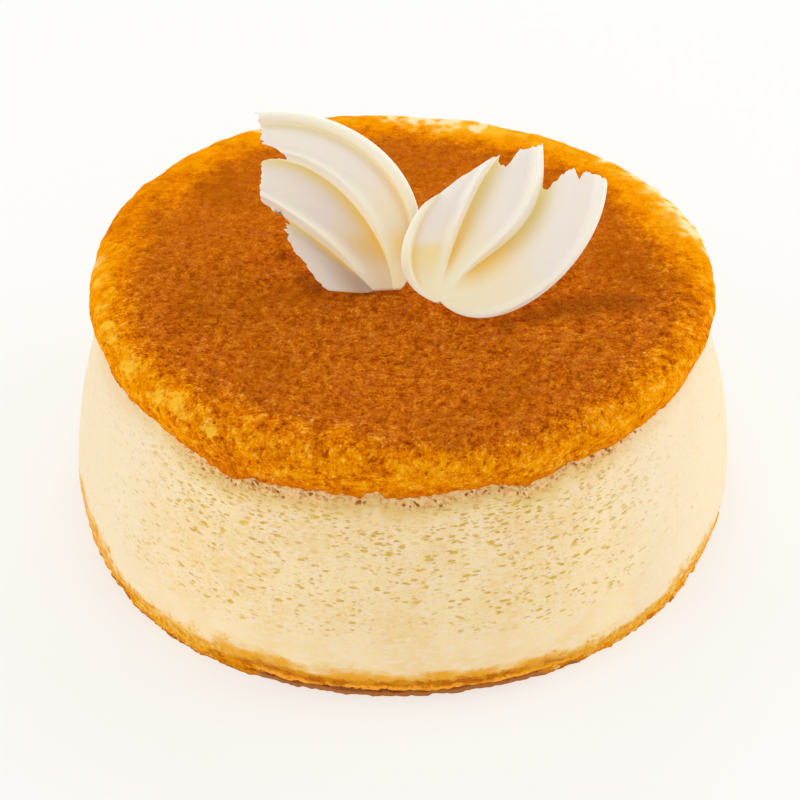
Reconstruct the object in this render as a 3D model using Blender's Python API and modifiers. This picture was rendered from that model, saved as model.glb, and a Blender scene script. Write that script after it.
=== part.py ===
"""A round jiggly cheesecake with two white chocolate fans standing on its top.

The cake is 15 cm across and 6 cm high. A thin sponge base runs through it, and above the base it is one soft
body that sags outwards low down and draws in to a neck under the browned crust. Both solids share one uneven
outline. Each fan is a thin shell of three overlapping lobes that spread from a root and end in a broken edge.
Metres, +Z up, with the origin under the middle of the base.
"""

import math
from dataclasses import dataclass

import bmesh
import bpy
from mathutils import Matrix, Vector

MM = 0.001
GAP = 0.3 * MM  # kept between neighbouring solids

# Turned profile of the cake, bottom to top.
CAKE_HEIGHT = 60.4 * MM
FLOOR_RADIUS = 76.0 * MM
BELLY_RADIUS = 77.6 * MM
BELLY_HEIGHT = 10.0 * MM
NECK_RADIUS = 68.0 * MM
NECK_HEIGHT = 48.5 * MM
STRAIGHT_SHARE = 0.3  # of the side from belly to neck: 0 is a parabola, and 1 is a straight run
CRUST_RADIUS = 70.2 * MM
CRUST_HEIGHT = 55.8 * MM
SHOULDER_WIDTH = 6.9 * MM
SPONGE_HEIGHT = 5.0 * MM

TURN_STEPS = 72
SIDE_STEPS = 9
SHOULDER_STEPS = 5

# Unevenness of the outline: waves round the cake, each an amplitude as a share of the radius and a crest angle.
TOP_WAVES = {2: (0.0124, -25.0), 3: (0.0124, 8.5), 4: (0.0071, 39.0)}
FLOOR_WAVES = {2: (0.0096, -64.0), 3: (0.0112, 8.0), 4: (0.0069, 40.0)}

# Fans. Plane coordinates are in millimetres from the root: x to the right, y up the fan.
FAN_LEAN = 50.0  # degrees from lying flat
FAN_THICKNESS = 1.7 * MM
LOBES = 3
LOBE_STEPS = 12
REACH_STEPS = 12
LIP_PLACE = 0.86  # where a lobe's lip stands, as a share of its width
LIP_RISE = 2.6 * MM
CORD_WIDTH = 0.13  # of a lobe's width
CUP_DEPTH = 2.5 * MM
FULL_RELIEF = 0.45  # share of the reach by which the relief has its full height


@dataclass(frozen=True)
class Fan:
    """One fan: its four ridges are cubic curves (start, two handles, end), and lobe n lies between ridges n and n + 1.

    broken_edge gives how far the fan reaches at places across it: (lobes from the first ridge, share of the ridges).
    """

    name: str
    root: tuple
    ridges: tuple
    broken_edge: tuple
    last_cord: bool  # whether the last lobe rises to an outer cord too


LEFT_FAN = Fan(
    name="chocolate_fan_left",
    root=(-2.2 * MM, -13.2 * MM),
    ridges=(
        ((2.0, 0.0), (15.0, 18.0), (-4.0, 41.0), (-29.5, 38.5)),
        ((0.0, 0.0), (-0.5, 11.5), (-15.0, 30.5), (-28.5, 28.0)),
        ((-2.0, 0.0), (-10.5, 8.0), (-19.0, 14.0), (-29.0, 19.5)),
        ((-3.0, -0.8), (-6.5, -1.5), (-10.0, -1.0), (-14.8, -0.6)),
    ),
    broken_edge=((0.0, 1.0), (0.65, 0.99), (0.82, 0.92), (0.97, 0.87), (1.03, 1.0), (1.5, 0.99), (1.97, 1.0),
                 (2.03, 0.78), (2.25, 0.95), (2.5, 1.08), (2.6, 1.03), (2.75, 1.08), (3.0, 1.0)),
    last_cord=False,
)

RIGHT_FAN = Fan(
    name="chocolate_fan_right",
    root=(7.8 * MM, -20.4 * MM),
    ridges=(
        ((-0.5, -0.6), (-11.5, 3.8), (-8.5, 13.5), (-3.5, 20.0)),
        ((-0.2, -0.4), (2.5, 12.0), (8.0, 25.0), (13.5, 31.5)),
        ((0.2, -0.4), (9.0, 12.0), (24.0, 11.5), (22.9, 33.8)),
        ((0.5, -0.6), (13.0, -12.0), (36.5, 8.5), (36.0, 26.0)),
    ),
    broken_edge=((0.0, 1.0), (0.3, 1.06), (0.4, 1.1), (0.55, 1.06), (0.83, 1.06), (0.92, 1.0), (1.0, 1.03),
                 (1.25, 0.88), (1.45, 1.02), (1.97, 1.0), (2.03, 0.77), (2.3, 0.93), (2.5, 0.99), (2.6, 0.92),
                 (2.68, 0.98), (3.0, 1.0)),
    last_cord=True,
)


def clear_scene():
    for obj in list(bpy.data.objects):
        bpy.data.objects.remove(obj)


def make_collection(name):
    collection = bpy.data.collections.new(name)
    bpy.context.scene.collection.children.link(collection)
    return collection


def make_material(name, colour, roughness):
    material = bpy.data.materials.new(name)
    material.use_nodes = True
    shader = material.node_tree.nodes["Principled BSDF"]
    shader.inputs["Base Color"].default_value = (*colour, 1.0)
    shader.inputs["Roughness"].default_value = roughness
    shader.inputs["Metallic"].default_value = 0.0
    return material


def blend(low, high, share):
    """The value a share of the way from low to high."""
    return low + (high - low) * share


def ease(share):
    """An S-shaped ramp from 0 to 1."""
    share = min(max(share, 0.0), 1.0)
    return share * share * (3.0 - 2.0 * share)


def side_radius(height):
    """Radius of the cake's side at a height, from the floor up to the neck."""
    if height < BELLY_HEIGHT:
        rise = math.sin(0.5 * math.pi * height / BELLY_HEIGHT)
        return blend(FLOOR_RADIUS, BELLY_RADIUS, rise)
    climb = (height - BELLY_HEIGHT) / (NECK_HEIGHT - BELLY_HEIGHT)
    drawn_in = blend(climb * climb, climb, STRAIGHT_SHARE)
    return blend(BELLY_RADIUS, NECK_RADIUS, drawn_in)


def body_profile():
    """Outer side of the body, top to bottom, as (radius, height) pairs that start and end on the axis."""
    points = [(0.0, CAKE_HEIGHT), (0.5 * (CRUST_RADIUS - SHOULDER_WIDTH), CAKE_HEIGHT)]
    for step in range(SHOULDER_STEPS + 1):
        angle = 0.5 * math.pi * step / SHOULDER_STEPS
        radius = CRUST_RADIUS - SHOULDER_WIDTH * (1.0 - math.sin(angle))
        points.append((radius, blend(CRUST_HEIGHT, CAKE_HEIGHT, math.cos(angle))))
    foot = SPONGE_HEIGHT + GAP
    for step in range(SIDE_STEPS + 1):
        height = blend(NECK_HEIGHT, foot, step / SIDE_STEPS)
        points.append((side_radius(height), height))
    points.append((0.0, foot))
    return points


def sponge_profile():
    """Outer side of the sponge base, top to bottom, as (radius, height) pairs that start and end on the axis."""
    middle = 0.5 * SPONGE_HEIGHT
    return [
        (0.0, SPONGE_HEIGHT),
        (side_radius(SPONGE_HEIGHT), SPONGE_HEIGHT),
        (side_radius(middle), middle),
        (FLOOR_RADIUS, 0.0),
        (0.0, 0.0),
    ]


def waviness(waves, angle):
    """Share of the radius that the outline stands out at an angle round the cake."""
    return sum(share * math.cos(count * (angle - math.radians(crest))) for count, (share, crest) in waves.items())


def uneven(point):
    """Where a point of the turned shape goes on the uneven cake."""
    angle = math.atan2(point.y, point.x)
    share = blend(waviness(FLOOR_WAVES, angle), waviness(TOP_WAVES, angle), point.z / CAKE_HEIGHT)
    return Vector((point.x * (1.0 + share), point.y * (1.0 + share), point.z))


def middle_of_outline():
    """Middle of the cake's footprint at its belly, which the origin lies under."""
    ring = []
    for step in range(TURN_STEPS):
        angle = 2.0 * math.pi * step / TURN_STEPS
        spoke = Vector((BELLY_RADIUS * math.cos(angle), BELLY_RADIUS * math.sin(angle), BELLY_HEIGHT))
        ring.append(uneven(spoke))
    return Vector((
        0.5 * (min(point.x for point in ring) + max(point.x for point in ring)),
        0.5 * (min(point.y for point in ring) + max(point.y for point in ring)),
        0.0,
    ))


def turn(name, profile, collection, material):
    """A solid turned round the Z axis from its profile, then made uneven."""
    mesh = bpy.data.meshes.new(name + "_profile")
    edges = [(index, index + 1) for index in range(len(profile) - 1)]
    mesh.from_pydata([(radius, 0.0, height) for radius, height in profile], edges, [])
    turned = bpy.data.objects.new(name, mesh)
    collection.objects.link(turned)
    screw = turned.modifiers.new("turn", "SCREW")
    screw.steps = TURN_STEPS
    screw.render_steps = TURN_STEPS
    screw.use_merge_vertices = True
    screw.merge_threshold = 0.01 * MM
    bpy.context.view_layer.update()
    solid = bpy.data.meshes.new_from_object(turned.evaluated_get(bpy.context.evaluated_depsgraph_get()))
    solid.name = name
    turned.modifiers.clear()
    turned.data = solid
    bpy.data.meshes.remove(mesh)
    shift = middle_of_outline()
    for vertex in solid.vertices:
        vertex.co = uneven(vertex.co) - shift
    solid.shade_smooth()
    solid.materials.append(material)
    return turned


def along(ridge, share):
    """The point a share of the way along a cubic ridge, in plane millimetres."""
    start, first, second, end = (Vector(point) for point in ridge)
    rest = 1.0 - share
    return (start * rest**3 + first * 3.0 * rest * rest * share
            + second * 3.0 * rest * share * share + end * share**3)


def edge_reach(fan, across):
    """How far the fan reaches at a place across it, as a share of the ridges' length."""
    for (low, low_reach), (high, high_reach) in zip(fan.broken_edge, fan.broken_edge[1:]):
        if across <= high:
            return blend(low_reach, high_reach, (across - low) / (high - low))
    return fan.broken_edge[-1][1]


def lobe_relief(fan, across):
    """Height of the front face across the fan, from 0 in a crease to 1 on a lip or a cord."""
    lobe = min(int(across), LOBES - 1)
    place = across - lobe
    if lobe == 0 and place < CORD_WIDTH:
        return math.cos(0.5 * math.pi * place / CORD_WIDTH)
    if lobe == LOBES - 1:
        return ease(place) if fan.last_cord else 0.35 * place
    if place > LIP_PLACE:
        return ease((1.0 - place) / (1.0 - LIP_PLACE))
    return place / LIP_PLACE


def fan_point(fan, across, share):
    """A point of the fan's front face: across it, and a share of the way out to its broken edge."""
    lobe = min(int(across), LOBES - 1)
    out = share * edge_reach(fan, across)
    flat = along(fan.ridges[lobe], out).lerp(along(fan.ridges[lobe + 1], out), across - lobe)
    strength = ease(out / FULL_RELIEF)
    off_middle = 2.0 * across / LOBES - 1.0
    height = LIP_RISE * lobe_relief(fan, across) * strength + CUP_DEPTH * off_middle**2 * ease(out)
    return Vector((flat.x * MM, flat.y * MM, height))


def make_fan(fan, collection, material):
    """A thin shell of overlapping lobes that leans back and stands on the cake's top."""
    shell = bmesh.new()
    bmesh.ops.create_grid(shell, x_segments=LOBES * LOBE_STEPS, y_segments=REACH_STEPS, size=1.0)
    for vertex in shell.verts:
        across = 0.5 * LOBES * (vertex.co.x + 1.0)
        vertex.co = fan_point(fan, across, 0.5 * (vertex.co.y + 1.0))
    back = bmesh.ops.extrude_face_region(shell, geom=shell.faces[:], use_keep_orig=True)
    behind = [item for item in back["geom"] if isinstance(item, bmesh.types.BMVert)]
    bmesh.ops.translate(shell, verts=behind, vec=(0.0, 0.0, -FAN_THICKNESS))
    bmesh.ops.recalc_face_normals(shell, faces=shell.faces)
    bmesh.ops.rotate(shell, verts=shell.verts, matrix=Matrix.Rotation(math.radians(FAN_LEAN), 3, "X"))
    lowest = min(vertex.co.z for vertex in shell.verts)
    mesh = bpy.data.meshes.new(fan.name)
    shell.to_mesh(mesh)
    shell.free()
    mesh.shade_smooth()
    mesh.materials.append(material)
    obj = bpy.data.objects.new(fan.name, mesh)
    collection.objects.link(obj)
    obj.location = (*fan.root, CAKE_HEIGHT + GAP - lowest)
    return obj


def main():
    clear_scene()
    cake = make_collection("jiggly_cheesecake")
    cream = make_material("cheesecake", (0.86, 0.66, 0.38), 0.45)
    sponge = make_material("sponge", (0.72, 0.45, 0.16), 0.7)
    chocolate = make_material("white_chocolate", (0.86, 0.80, 0.66), 0.35)
    turn("cheesecake_body", body_profile(), cake, cream)
    turn("sponge_base", sponge_profile(), cake, sponge)
    for fan in (LEFT_FAN, RIGHT_FAN):
        make_fan(fan, cake, chocolate)


main()
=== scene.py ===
"""Finish of a round jiggly cheesecake with two white chocolate fans standing on its browned top.

Its parts are a browned crust with a crumbed skin, a pale custard side full of small flattened pores, a
thin sponge base with a toasted, flaking foot, and the two fans. Each part is a dataclass that holds its
sizes and shapes its mesh, and each finish is one that holds its tints and paints it. All sizes are in
metres, with +Z up and the front of the cake towards -Y.
"""

from __future__ import annotations

import logging
import math
from dataclasses import dataclass, field
from enum import Enum
from typing import Any, Sequence, Union

import bpy
import numpy as np
from mathutils import Matrix, Vector, noise


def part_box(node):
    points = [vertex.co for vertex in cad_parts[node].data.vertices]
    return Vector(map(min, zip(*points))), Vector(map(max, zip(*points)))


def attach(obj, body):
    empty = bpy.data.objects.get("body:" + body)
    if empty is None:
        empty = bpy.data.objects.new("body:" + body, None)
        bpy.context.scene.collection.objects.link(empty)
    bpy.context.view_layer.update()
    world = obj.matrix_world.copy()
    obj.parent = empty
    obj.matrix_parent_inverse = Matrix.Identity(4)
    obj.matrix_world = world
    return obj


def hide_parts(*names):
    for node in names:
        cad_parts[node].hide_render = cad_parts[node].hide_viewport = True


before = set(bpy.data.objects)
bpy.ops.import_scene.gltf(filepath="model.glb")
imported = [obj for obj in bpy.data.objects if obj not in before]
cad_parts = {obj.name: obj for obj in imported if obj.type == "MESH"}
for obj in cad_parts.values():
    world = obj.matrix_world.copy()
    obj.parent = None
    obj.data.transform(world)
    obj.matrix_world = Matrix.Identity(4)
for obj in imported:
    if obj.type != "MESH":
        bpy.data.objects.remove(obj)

MM = 0.001
BODY = "root"
LOG = logging.getLogger("cheesecake")

Array = np.ndarray
AngleTable = Sequence[tuple[float, float]]
# Where a ramp is 0 and where it is 1.
Span = tuple[float, float]
# How high lumps of each size are, as (share, lump width, seed).
Grain = Sequence[tuple[float, float, int]]
# A hole as its angle, height, half length, half height, tilt and depth.
Hole = tuple[float, float, float, float, float, float]


class Part(Enum):
    """Names of the solids that the finished pieces stand for."""

    BODY = "cheesecake_body"
    BASE = "sponge_base"
    LEFT_FAN = "chocolate_fan_left"
    RIGHT_FAN = "chocolate_fan_right"


class Slot(Enum):
    """Material slots of the record."""

    CHEESECAKE = "cheesecake"
    SPONGE = "sponge"
    CHOCOLATE = "white_chocolate"


# ----------------------------------------------------------------------------------------------------------
# Small maths
# ----------------------------------------------------------------------------------------------------------


def blend(low: Any, high: Any, share: Any) -> Any:
    """The value a share of the way from low to high."""
    return low + (high - low) * share


def ease(value: Any, low: float = 0.0, high: float = 1.0) -> Any:
    """An S-shaped ramp that is 0 at low and 1 at high.

    Args:
        value: Number or array to ramp.
        low: Where the ramp starts.
        high: Where the ramp is full. It may lie below low.

    Returns:
        The ramp's height, from 0 to 1.
    """
    share = np.clip((value - low) / (high - low), 0.0, 1.0)
    return share * share * (3.0 - 2.0 * share)


def lumps(points: Array, size: float, seed: int = 0, squash: float = 1.0) -> Array:
    """Smooth random heights over space.

    Args:
        points: Places, one per row.
        size: Width of one lump.
        seed: Picks the pattern.
        squash: How many times flatter than wide a lump is, along Z.

    Returns:
        One height per place, from about -1 to 1.
    """
    grain = points / size * np.array((1.0, 1.0, squash)) + np.array((17.3, 41.7, 29.1)) * (seed + 1)
    return np.fromiter((noise.noise(place) for place in grain.tolist()), float, len(grain)) * 1.6


def layered(points: Array, grain: Grain) -> Array:
    """Lumps of several sizes on top of one another."""
    return sum(share * lumps(points, size, seed) for share, size, seed in grain)


def round_table(angle: Array, table: AngleTable) -> Array:
    """Reads a table that goes once round the cake.

    Args:
        angle: Angles in radians.
        table: Rows of (degrees from +X, value), in rising order.

    Returns:
        The value at each angle.
    """
    degrees = [row[0] for row in table]
    values = [row[1] for row in table]
    return np.interp(np.degrees(angle), degrees, values, period=360.0)


def once_round(steps: int) -> Array:
    """Angles that lie evenly once round the cake."""
    return np.arange(steps) * 2.0 * math.pi / steps


def turn_between(angle: Array, other: float) -> Array:
    """Signed turn in radians from another angle, between -pi and pi."""
    return (angle - other + math.pi) % (2.0 * math.pi) - math.pi


def bell(value: Any, width: Any, power: int = 2) -> Any:
    """A peak that is 1 at zero and fades to either side.

    Args:
        value: Number or array, measured from the peak.
        width: Half width of the peak.
        power: 2 for a rounded peak, 4 for a flat top with steeper flanks.

    Returns:
        The peak's height, from 0 to 1.
    """
    return np.exp(-((value / width) ** power))


def spot(points: Array, x: float, y: float, size: float) -> Array:
    """How near each point lies to an upright line, from 1 on it to 0 well beyond the size."""
    return bell(np.hypot(points[:, 0] - x, points[:, 1] - y), size)


def pairs(along: Array, up: Array) -> tuple[Array, Array]:
    """Every pair of two lists' values, row by row, with the first list along each row."""
    first, second = np.meshgrid(along, up)
    return first.ravel(), second.ravel()


# ----------------------------------------------------------------------------------------------------------
# Shader graphs
# ----------------------------------------------------------------------------------------------------------


@dataclass(frozen=True)
class Tint:
    """A colour as a maker would name it, in display values from 0 to 255."""

    red: float
    green: float
    blue: float

    def linear(self) -> tuple[float, float, float, float]:
        """The colour as light.

        Returns:
            Red, green, blue and full alpha.
        """
        parts = [value / 255.0 for value in (self.red, self.green, self.blue)]
        light = [part / 12.92 if part <= 0.04045 else ((part + 0.055) / 1.055) ** 2.4 for part in parts]
        return (*light, 1.0)


@dataclass(frozen=True)
class Channel:
    """One output socket of a graph, with arithmetic that adds Math nodes."""

    graph: "Graph"
    socket: bpy.types.NodeSocket

    def _math(self, operation: str, first: "Value", second: "Value") -> "Channel":
        """A Math node that joins two values."""
        return self.graph.node("ShaderNodeMath", {"operation": operation}, {0: first, 1: second})

    def __add__(self, other: "Value") -> "Channel":
        """self + other."""
        return self._math("ADD", self, other)

    __radd__ = __add__

    def __sub__(self, other: "Value") -> "Channel":
        """self - other."""
        return self._math("SUBTRACT", self, other)

    def __rsub__(self, other: "Value") -> "Channel":
        """other - self."""
        return self._math("SUBTRACT", other, self)

    def __mul__(self, other: "Value") -> "Channel":
        """self * other."""
        return self._math("MULTIPLY", self, other)

    __rmul__ = __mul__

    def above(self, low: float, high: float) -> "Channel":
        """An S-shaped ramp that is 0 at low and 1 at high."""
        limits = {"Value": self, "From Min": low, "From Max": high}
        return self.graph.node("ShaderNodeMapRange", {"interpolation_type": "SMOOTHSTEP"}, limits)


Value = Union[float, Channel]
Paint = Union[Tint, Channel]
Stops = Sequence[tuple[float, Tint]]


@dataclass
class Graph:
    """A material and its node tree."""

    name: str
    material: bpy.types.Material = field(init=False)

    def __post_init__(self) -> None:
        """Makes the material with an empty tree."""
        self.material = bpy.data.materials.new(self.name)
        self.material.use_nodes = True
        self.material.node_tree.nodes.clear()

    def node(self, kind: str, settings: dict[str, Any], inputs: dict[Any, Any], output: Any = 0) -> Channel:
        """Adds a node.

        Args:
            kind: The node's type.
            settings: Attributes of the node, set first; "stops" gives a ramp's (place, tint) pairs.
            inputs: Values, tints or channels for its sockets, by name or index.
            output: Name or index of the socket that is returned.

        Returns:
            The output as a channel.
        """
        made = self.material.node_tree.nodes.new(kind)
        for name, value in settings.items():
            if name == "stops":
                self._set_stops(made.color_ramp, value)
            else:
                setattr(made, name, value)
        for name, value in inputs.items():
            if isinstance(value, Channel):
                self.material.node_tree.links.new(value.socket, made.inputs[name])
            elif isinstance(value, Tint):
                made.inputs[name].default_value = value.linear()
            else:
                made.inputs[name].default_value = value
        return Channel(self, made.outputs[output])

    @staticmethod
    def _set_stops(ramp: bpy.types.ColorRamp, stops: Stops) -> None:
        """Gives a colour ramp its stops.

        Args:
            ramp: The node's ramp.
            stops: Its places and tints.
        """
        while len(ramp.elements) < len(stops):
            ramp.elements.new(0.5)
        for element, (place, tint) in zip(ramp.elements, stops):
            element.position = place
            element.color = tint.linear()

    def place(self) -> Channel:
        """Object coordinates, in metres."""
        return self.node("ShaderNodeTexCoord", {}, {}, "Object")

    def _vectors(self, operation: str, first: Channel, second: Any) -> Channel:
        """A Vector Math node that joins two vectors."""
        return self.node("ShaderNodeVectorMath", {"operation": operation}, {0: first, 1: second})

    def stretched(self, place: Channel, scale: tuple[float, float, float]) -> Channel:
        """Coordinates multiplied along each axis."""
        return self._vectors("MULTIPLY", place, scale)

    def mask(self, name: str) -> Channel:
        """A number that the mesh holds at its vertices."""
        settings = {"attribute_type": "GEOMETRY", "attribute_name": name}
        return self.node("ShaderNodeAttribute", settings, {}, "Fac")

    def grain(self, place: Channel, size: float, detail: float = 2.0, rough: float = 0.5) -> Channel:
        """Smooth noise whose lumps have this size, from 0 to 1."""
        inputs = {"Vector": place, "Scale": 1.0 / size, "Detail": detail, "Roughness": rough}
        return self.node("ShaderNodeTexNoise", {}, inputs, "Fac")

    def scatter(self, place: Channel, size: float) -> tuple[Channel, Channel]:
        """Distance to the nearest of points about this far apart, and a random number for each point.

        Args:
            place: Coordinates.
            size: How far apart the points lie.

        Returns:
            The distance and the number.
        """
        apart = self.node("ShaderNodeTexVoronoi", {}, {"Vector": place, "Scale": 1.0 / size}, "Distance")
        colour = Channel(self, apart.socket.node.outputs["Color"])
        return apart, self.node("ShaderNodeSeparateColor", {}, {0: colour}, 0)

    def warped(self, place: Channel, size: float, reach: float) -> Channel:
        """Coordinates pushed about by noise with lumps of this size.

        Args:
            place: Coordinates.
            size: Size of the lumps.
            reach: How far they push.

        Returns:
            The moved coordinates.
        """
        inputs = {"Vector": place, "Scale": 1.0 / size, "Detail": 1.0}
        push = self.node("ShaderNodeTexNoise", {}, inputs, "Color")
        centred = self._vectors("SUBTRACT", push, (0.5, 0.5, 0.5))
        return self._vectors("ADD", place, self.stretched(centred, (reach, reach, reach)))

    def ramp(self, share: Channel, stops: Stops) -> Channel:
        """Colour that passes through these stops as the share grows."""
        return self.node("ShaderNodeValToRGB", {"stops": stops}, {"Fac": share})

    def mix(self, share: Value, low: Paint, high: Paint) -> Channel:
        """Colour a share of the way from low to high."""
        return self.node("ShaderNodeMix", {"data_type": "RGBA"}, {0: share, 6: low, 7: high}, 2)

    def coated(self, colour: Channel, *coats: tuple[Value, Paint]) -> Channel:
        """A colour under coats of paint, each of which covers a share of it, from the lowest up.

        Args:
            colour: The colour underneath.
            coats: The share that each coat covers, and its paint.

        Returns:
            The colour on top.
        """
        for share, paint in coats:
            colour = self.mix(share, colour, paint)
        return colour

    def bump(self, height: Channel, distance: float, strength: float) -> Channel:
        """Surface normal of a relief with this depth."""
        inputs = {"Height": height, "Distance": distance, "Strength": strength}
        return self.node("ShaderNodeBump", {}, inputs)

    def finish(self, inputs: dict[str, Any]) -> bpy.types.Material:
        """Closes the graph with a Principled shader.

        Args:
            inputs: Values, tints or channels for the shader's sockets.

        Returns:
            The finished material.
        """
        shader = self.node("ShaderNodeBsdfPrincipled", {"subsurface_method": "RANDOM_WALK"}, inputs)
        out = self.material.node_tree.nodes.new("ShaderNodeOutputMaterial")
        self.material.node_tree.links.new(shader.socket, out.inputs["Surface"])
        return self.material


# ----------------------------------------------------------------------------------------------------------
# Meshes
# ----------------------------------------------------------------------------------------------------------


@dataclass
class Skin:
    """A mesh under construction: points, faces and the masks that its finish reads.

    The sheet holds every face's corners on the unit square, in the order of the faces and then the caps.
    """

    points: Array
    faces: list[Sequence[int]]
    masks: dict[str, Array]
    sheet: list[Array]
    caps: list[Sequence[int]] = field(default_factory=list)

    def make(self, name: str, material: bpy.types.Material, slot: Slot, *parts: Part) -> bpy.types.Object:
        """Makes the object and ties it to the frame.

        Args:
            name: The piece's name.
            material: Its finish.
            slot: The record's slot for that finish; not used.
            parts: The solids that it stands for.

        Returns:
            The new object.
        """
        mesh = bpy.data.meshes.new(name)
        mesh.from_pydata(self.points.tolist(), [], list(self.faces) + self.caps)
        for title, values in self.masks.items():
            layer = mesh.attributes.new(title, "FLOAT", "POINT")
            layer.data.foreach_set("value", np.asarray(values, np.float32))
        mesh.shade_smooth()
        self._sharpen(mesh)
        layout = mesh.uv_layers.new(name="OFBake")
        layout.data.foreach_set("uv", np.concatenate([part.ravel() for part in self.sheet]))
        mesh.materials.append(material)
        piece = bpy.data.objects.new(name, mesh)
        bpy.context.scene.collection.objects.link(piece)
        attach(piece, BODY)
        for part in parts:
            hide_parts(part.value)
        LOG.info("%s: %d points, %d faces", name, len(mesh.vertices), len(mesh.polygons))
        return piece

    def _sharpen(self, mesh: bpy.types.Mesh) -> None:
        """Keeps the shading of the caps apart from that of the skin.

        Args:
            mesh: The mesh, with its faces made.
        """
        ends = np.empty(len(mesh.edges) * 2, np.int32)
        mesh.edges.foreach_get("vertices", ends)
        on_cap = np.zeros(len(mesh.vertices), bool)
        for cap in self.caps:
            on_cap[list(cap)] = True
        sharp = mesh.attributes.new("sharp_edge", "BOOLEAN", "EDGE")
        sharp.data.foreach_set("value", on_cap[ends].reshape(-1, 2).all(axis=1))


def grid_sheet(rows: int, columns: int, low: tuple[float, float], high: tuple[float, float]) -> Array:
    """Lays a grid's faces on the unit sheet.

    Args:
        rows: Faces along V.
        columns: Faces along U.
        low: Where the grid starts.
        high: Where it ends.

    Returns:
        Four corners per face, row by row, going round from the corner nearest the start.
    """
    row, column = (part.ravel() for part in np.indices((rows, columns)))
    round_face = ((0, 0), (0, 1), (1, 1), (1, 0))
    corners = [((column + over) / columns, (row + up) / rows) for up, over in round_face]
    return blend(np.array(low), np.array(high), np.array(corners).transpose(2, 0, 1))


def ring_sheet(rows: int, columns: int, share: float, strips: int = 3) -> list[Array]:
    """Lays a tube's faces on the unit sheet as stacked strips, with its caps as discs above them.

    Args:
        rows: Rows of points of the tube.
        columns: Points in a row.
        share: How much of the sheet's height the strips take.
        strips: How many strips the tube is cut into.

    Returns:
        The corners of the side's faces and of each cap.
    """
    side = grid_sheet(rows - 1, columns, (0.0, 0.99), (float(strips), 0.01))[:, [0, 3, 2, 1]]
    strip = np.floor(side[:, :1, 0] + 1e-6)
    side = np.stack((side[..., 0] - strip, (side[..., 1] + strip) / strips * share), axis=-1)
    turn = once_round(columns)
    radius = 0.49 * (1.0 - share)
    disc = radius * np.stack((np.cos(turn), np.sin(turn)), axis=-1) + np.array((0.0, share + 1.02 * radius))
    return [side, disc + np.array((1.02 * radius, 0.0)), disc[::-1] + np.array((1.0 - 1.02 * radius, 0.0))]


def ring_caps(rows: int, columns: int) -> list[list[int]]:
    """Flat faces that close such a tube above and below."""
    last = (rows - 1) * columns
    return [list(range(columns)), [last + step for step in reversed(range(columns))]]


def ring_faces(rows: int, columns: int) -> list[list[int]]:
    """Faces of a tube of points stored row by row from the top down, facing outwards.

    Args:
        rows: Rows of points.
        columns: Points in a row.

    Returns:
        Four indices per face.
    """
    index = np.arange(rows * columns).reshape(rows, columns)
    beside = np.roll(index, -1, axis=1)
    corners = (index[:-1], index[1:], beside[1:], beside[:-1])
    return np.stack([corner.ravel() for corner in corners], axis=-1).tolist()


def tube(points: Array, columns: int, masks: dict[str, Array], share: float) -> Skin:
    """A closed tube.

    Args:
        points: Its points, row by row from the top down.
        columns: Points in a row.
        masks: What its finish reads.
        share: How much of the sheet's height its side takes.

    Returns:
        The skin.
    """
    rows = len(points) // columns
    sheet = ring_sheet(rows, columns, share)
    return Skin(points, ring_faces(rows, columns), masks, sheet, ring_caps(rows, columns))


def grid_faces(index: Array) -> Array:
    """Four-cornered faces between the points of a grid of indices, row by row."""
    corners = (index[:-1, :-1], index[:-1, 1:], index[1:, 1:], index[1:, :-1])
    return np.stack([corner.ravel() for corner in corners], axis=-1)


def band_faces(low: Array, high: Array) -> list[list[int]]:
    """Faces that join two closed rings of indices."""
    return np.stack((np.roll(low, -1), low, high, np.roll(high, -1)), axis=-1).tolist()


def outline(index: Array, inset: int = 0) -> Array:
    """Indices once round a grid.

    Args:
        index: The grid's indices.
        inset: How many rows and columns inside the edge to read them.

    Returns:
        One index for each point of the edge, in order.
    """
    sides = (index[inset, :-1], index[:-1, -1 - inset], index[-1 - inset, :0:-1], index[:0:-1, inset])
    return np.concatenate(sides)


# ----------------------------------------------------------------------------------------------------------
# The cake
# ----------------------------------------------------------------------------------------------------------


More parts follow.
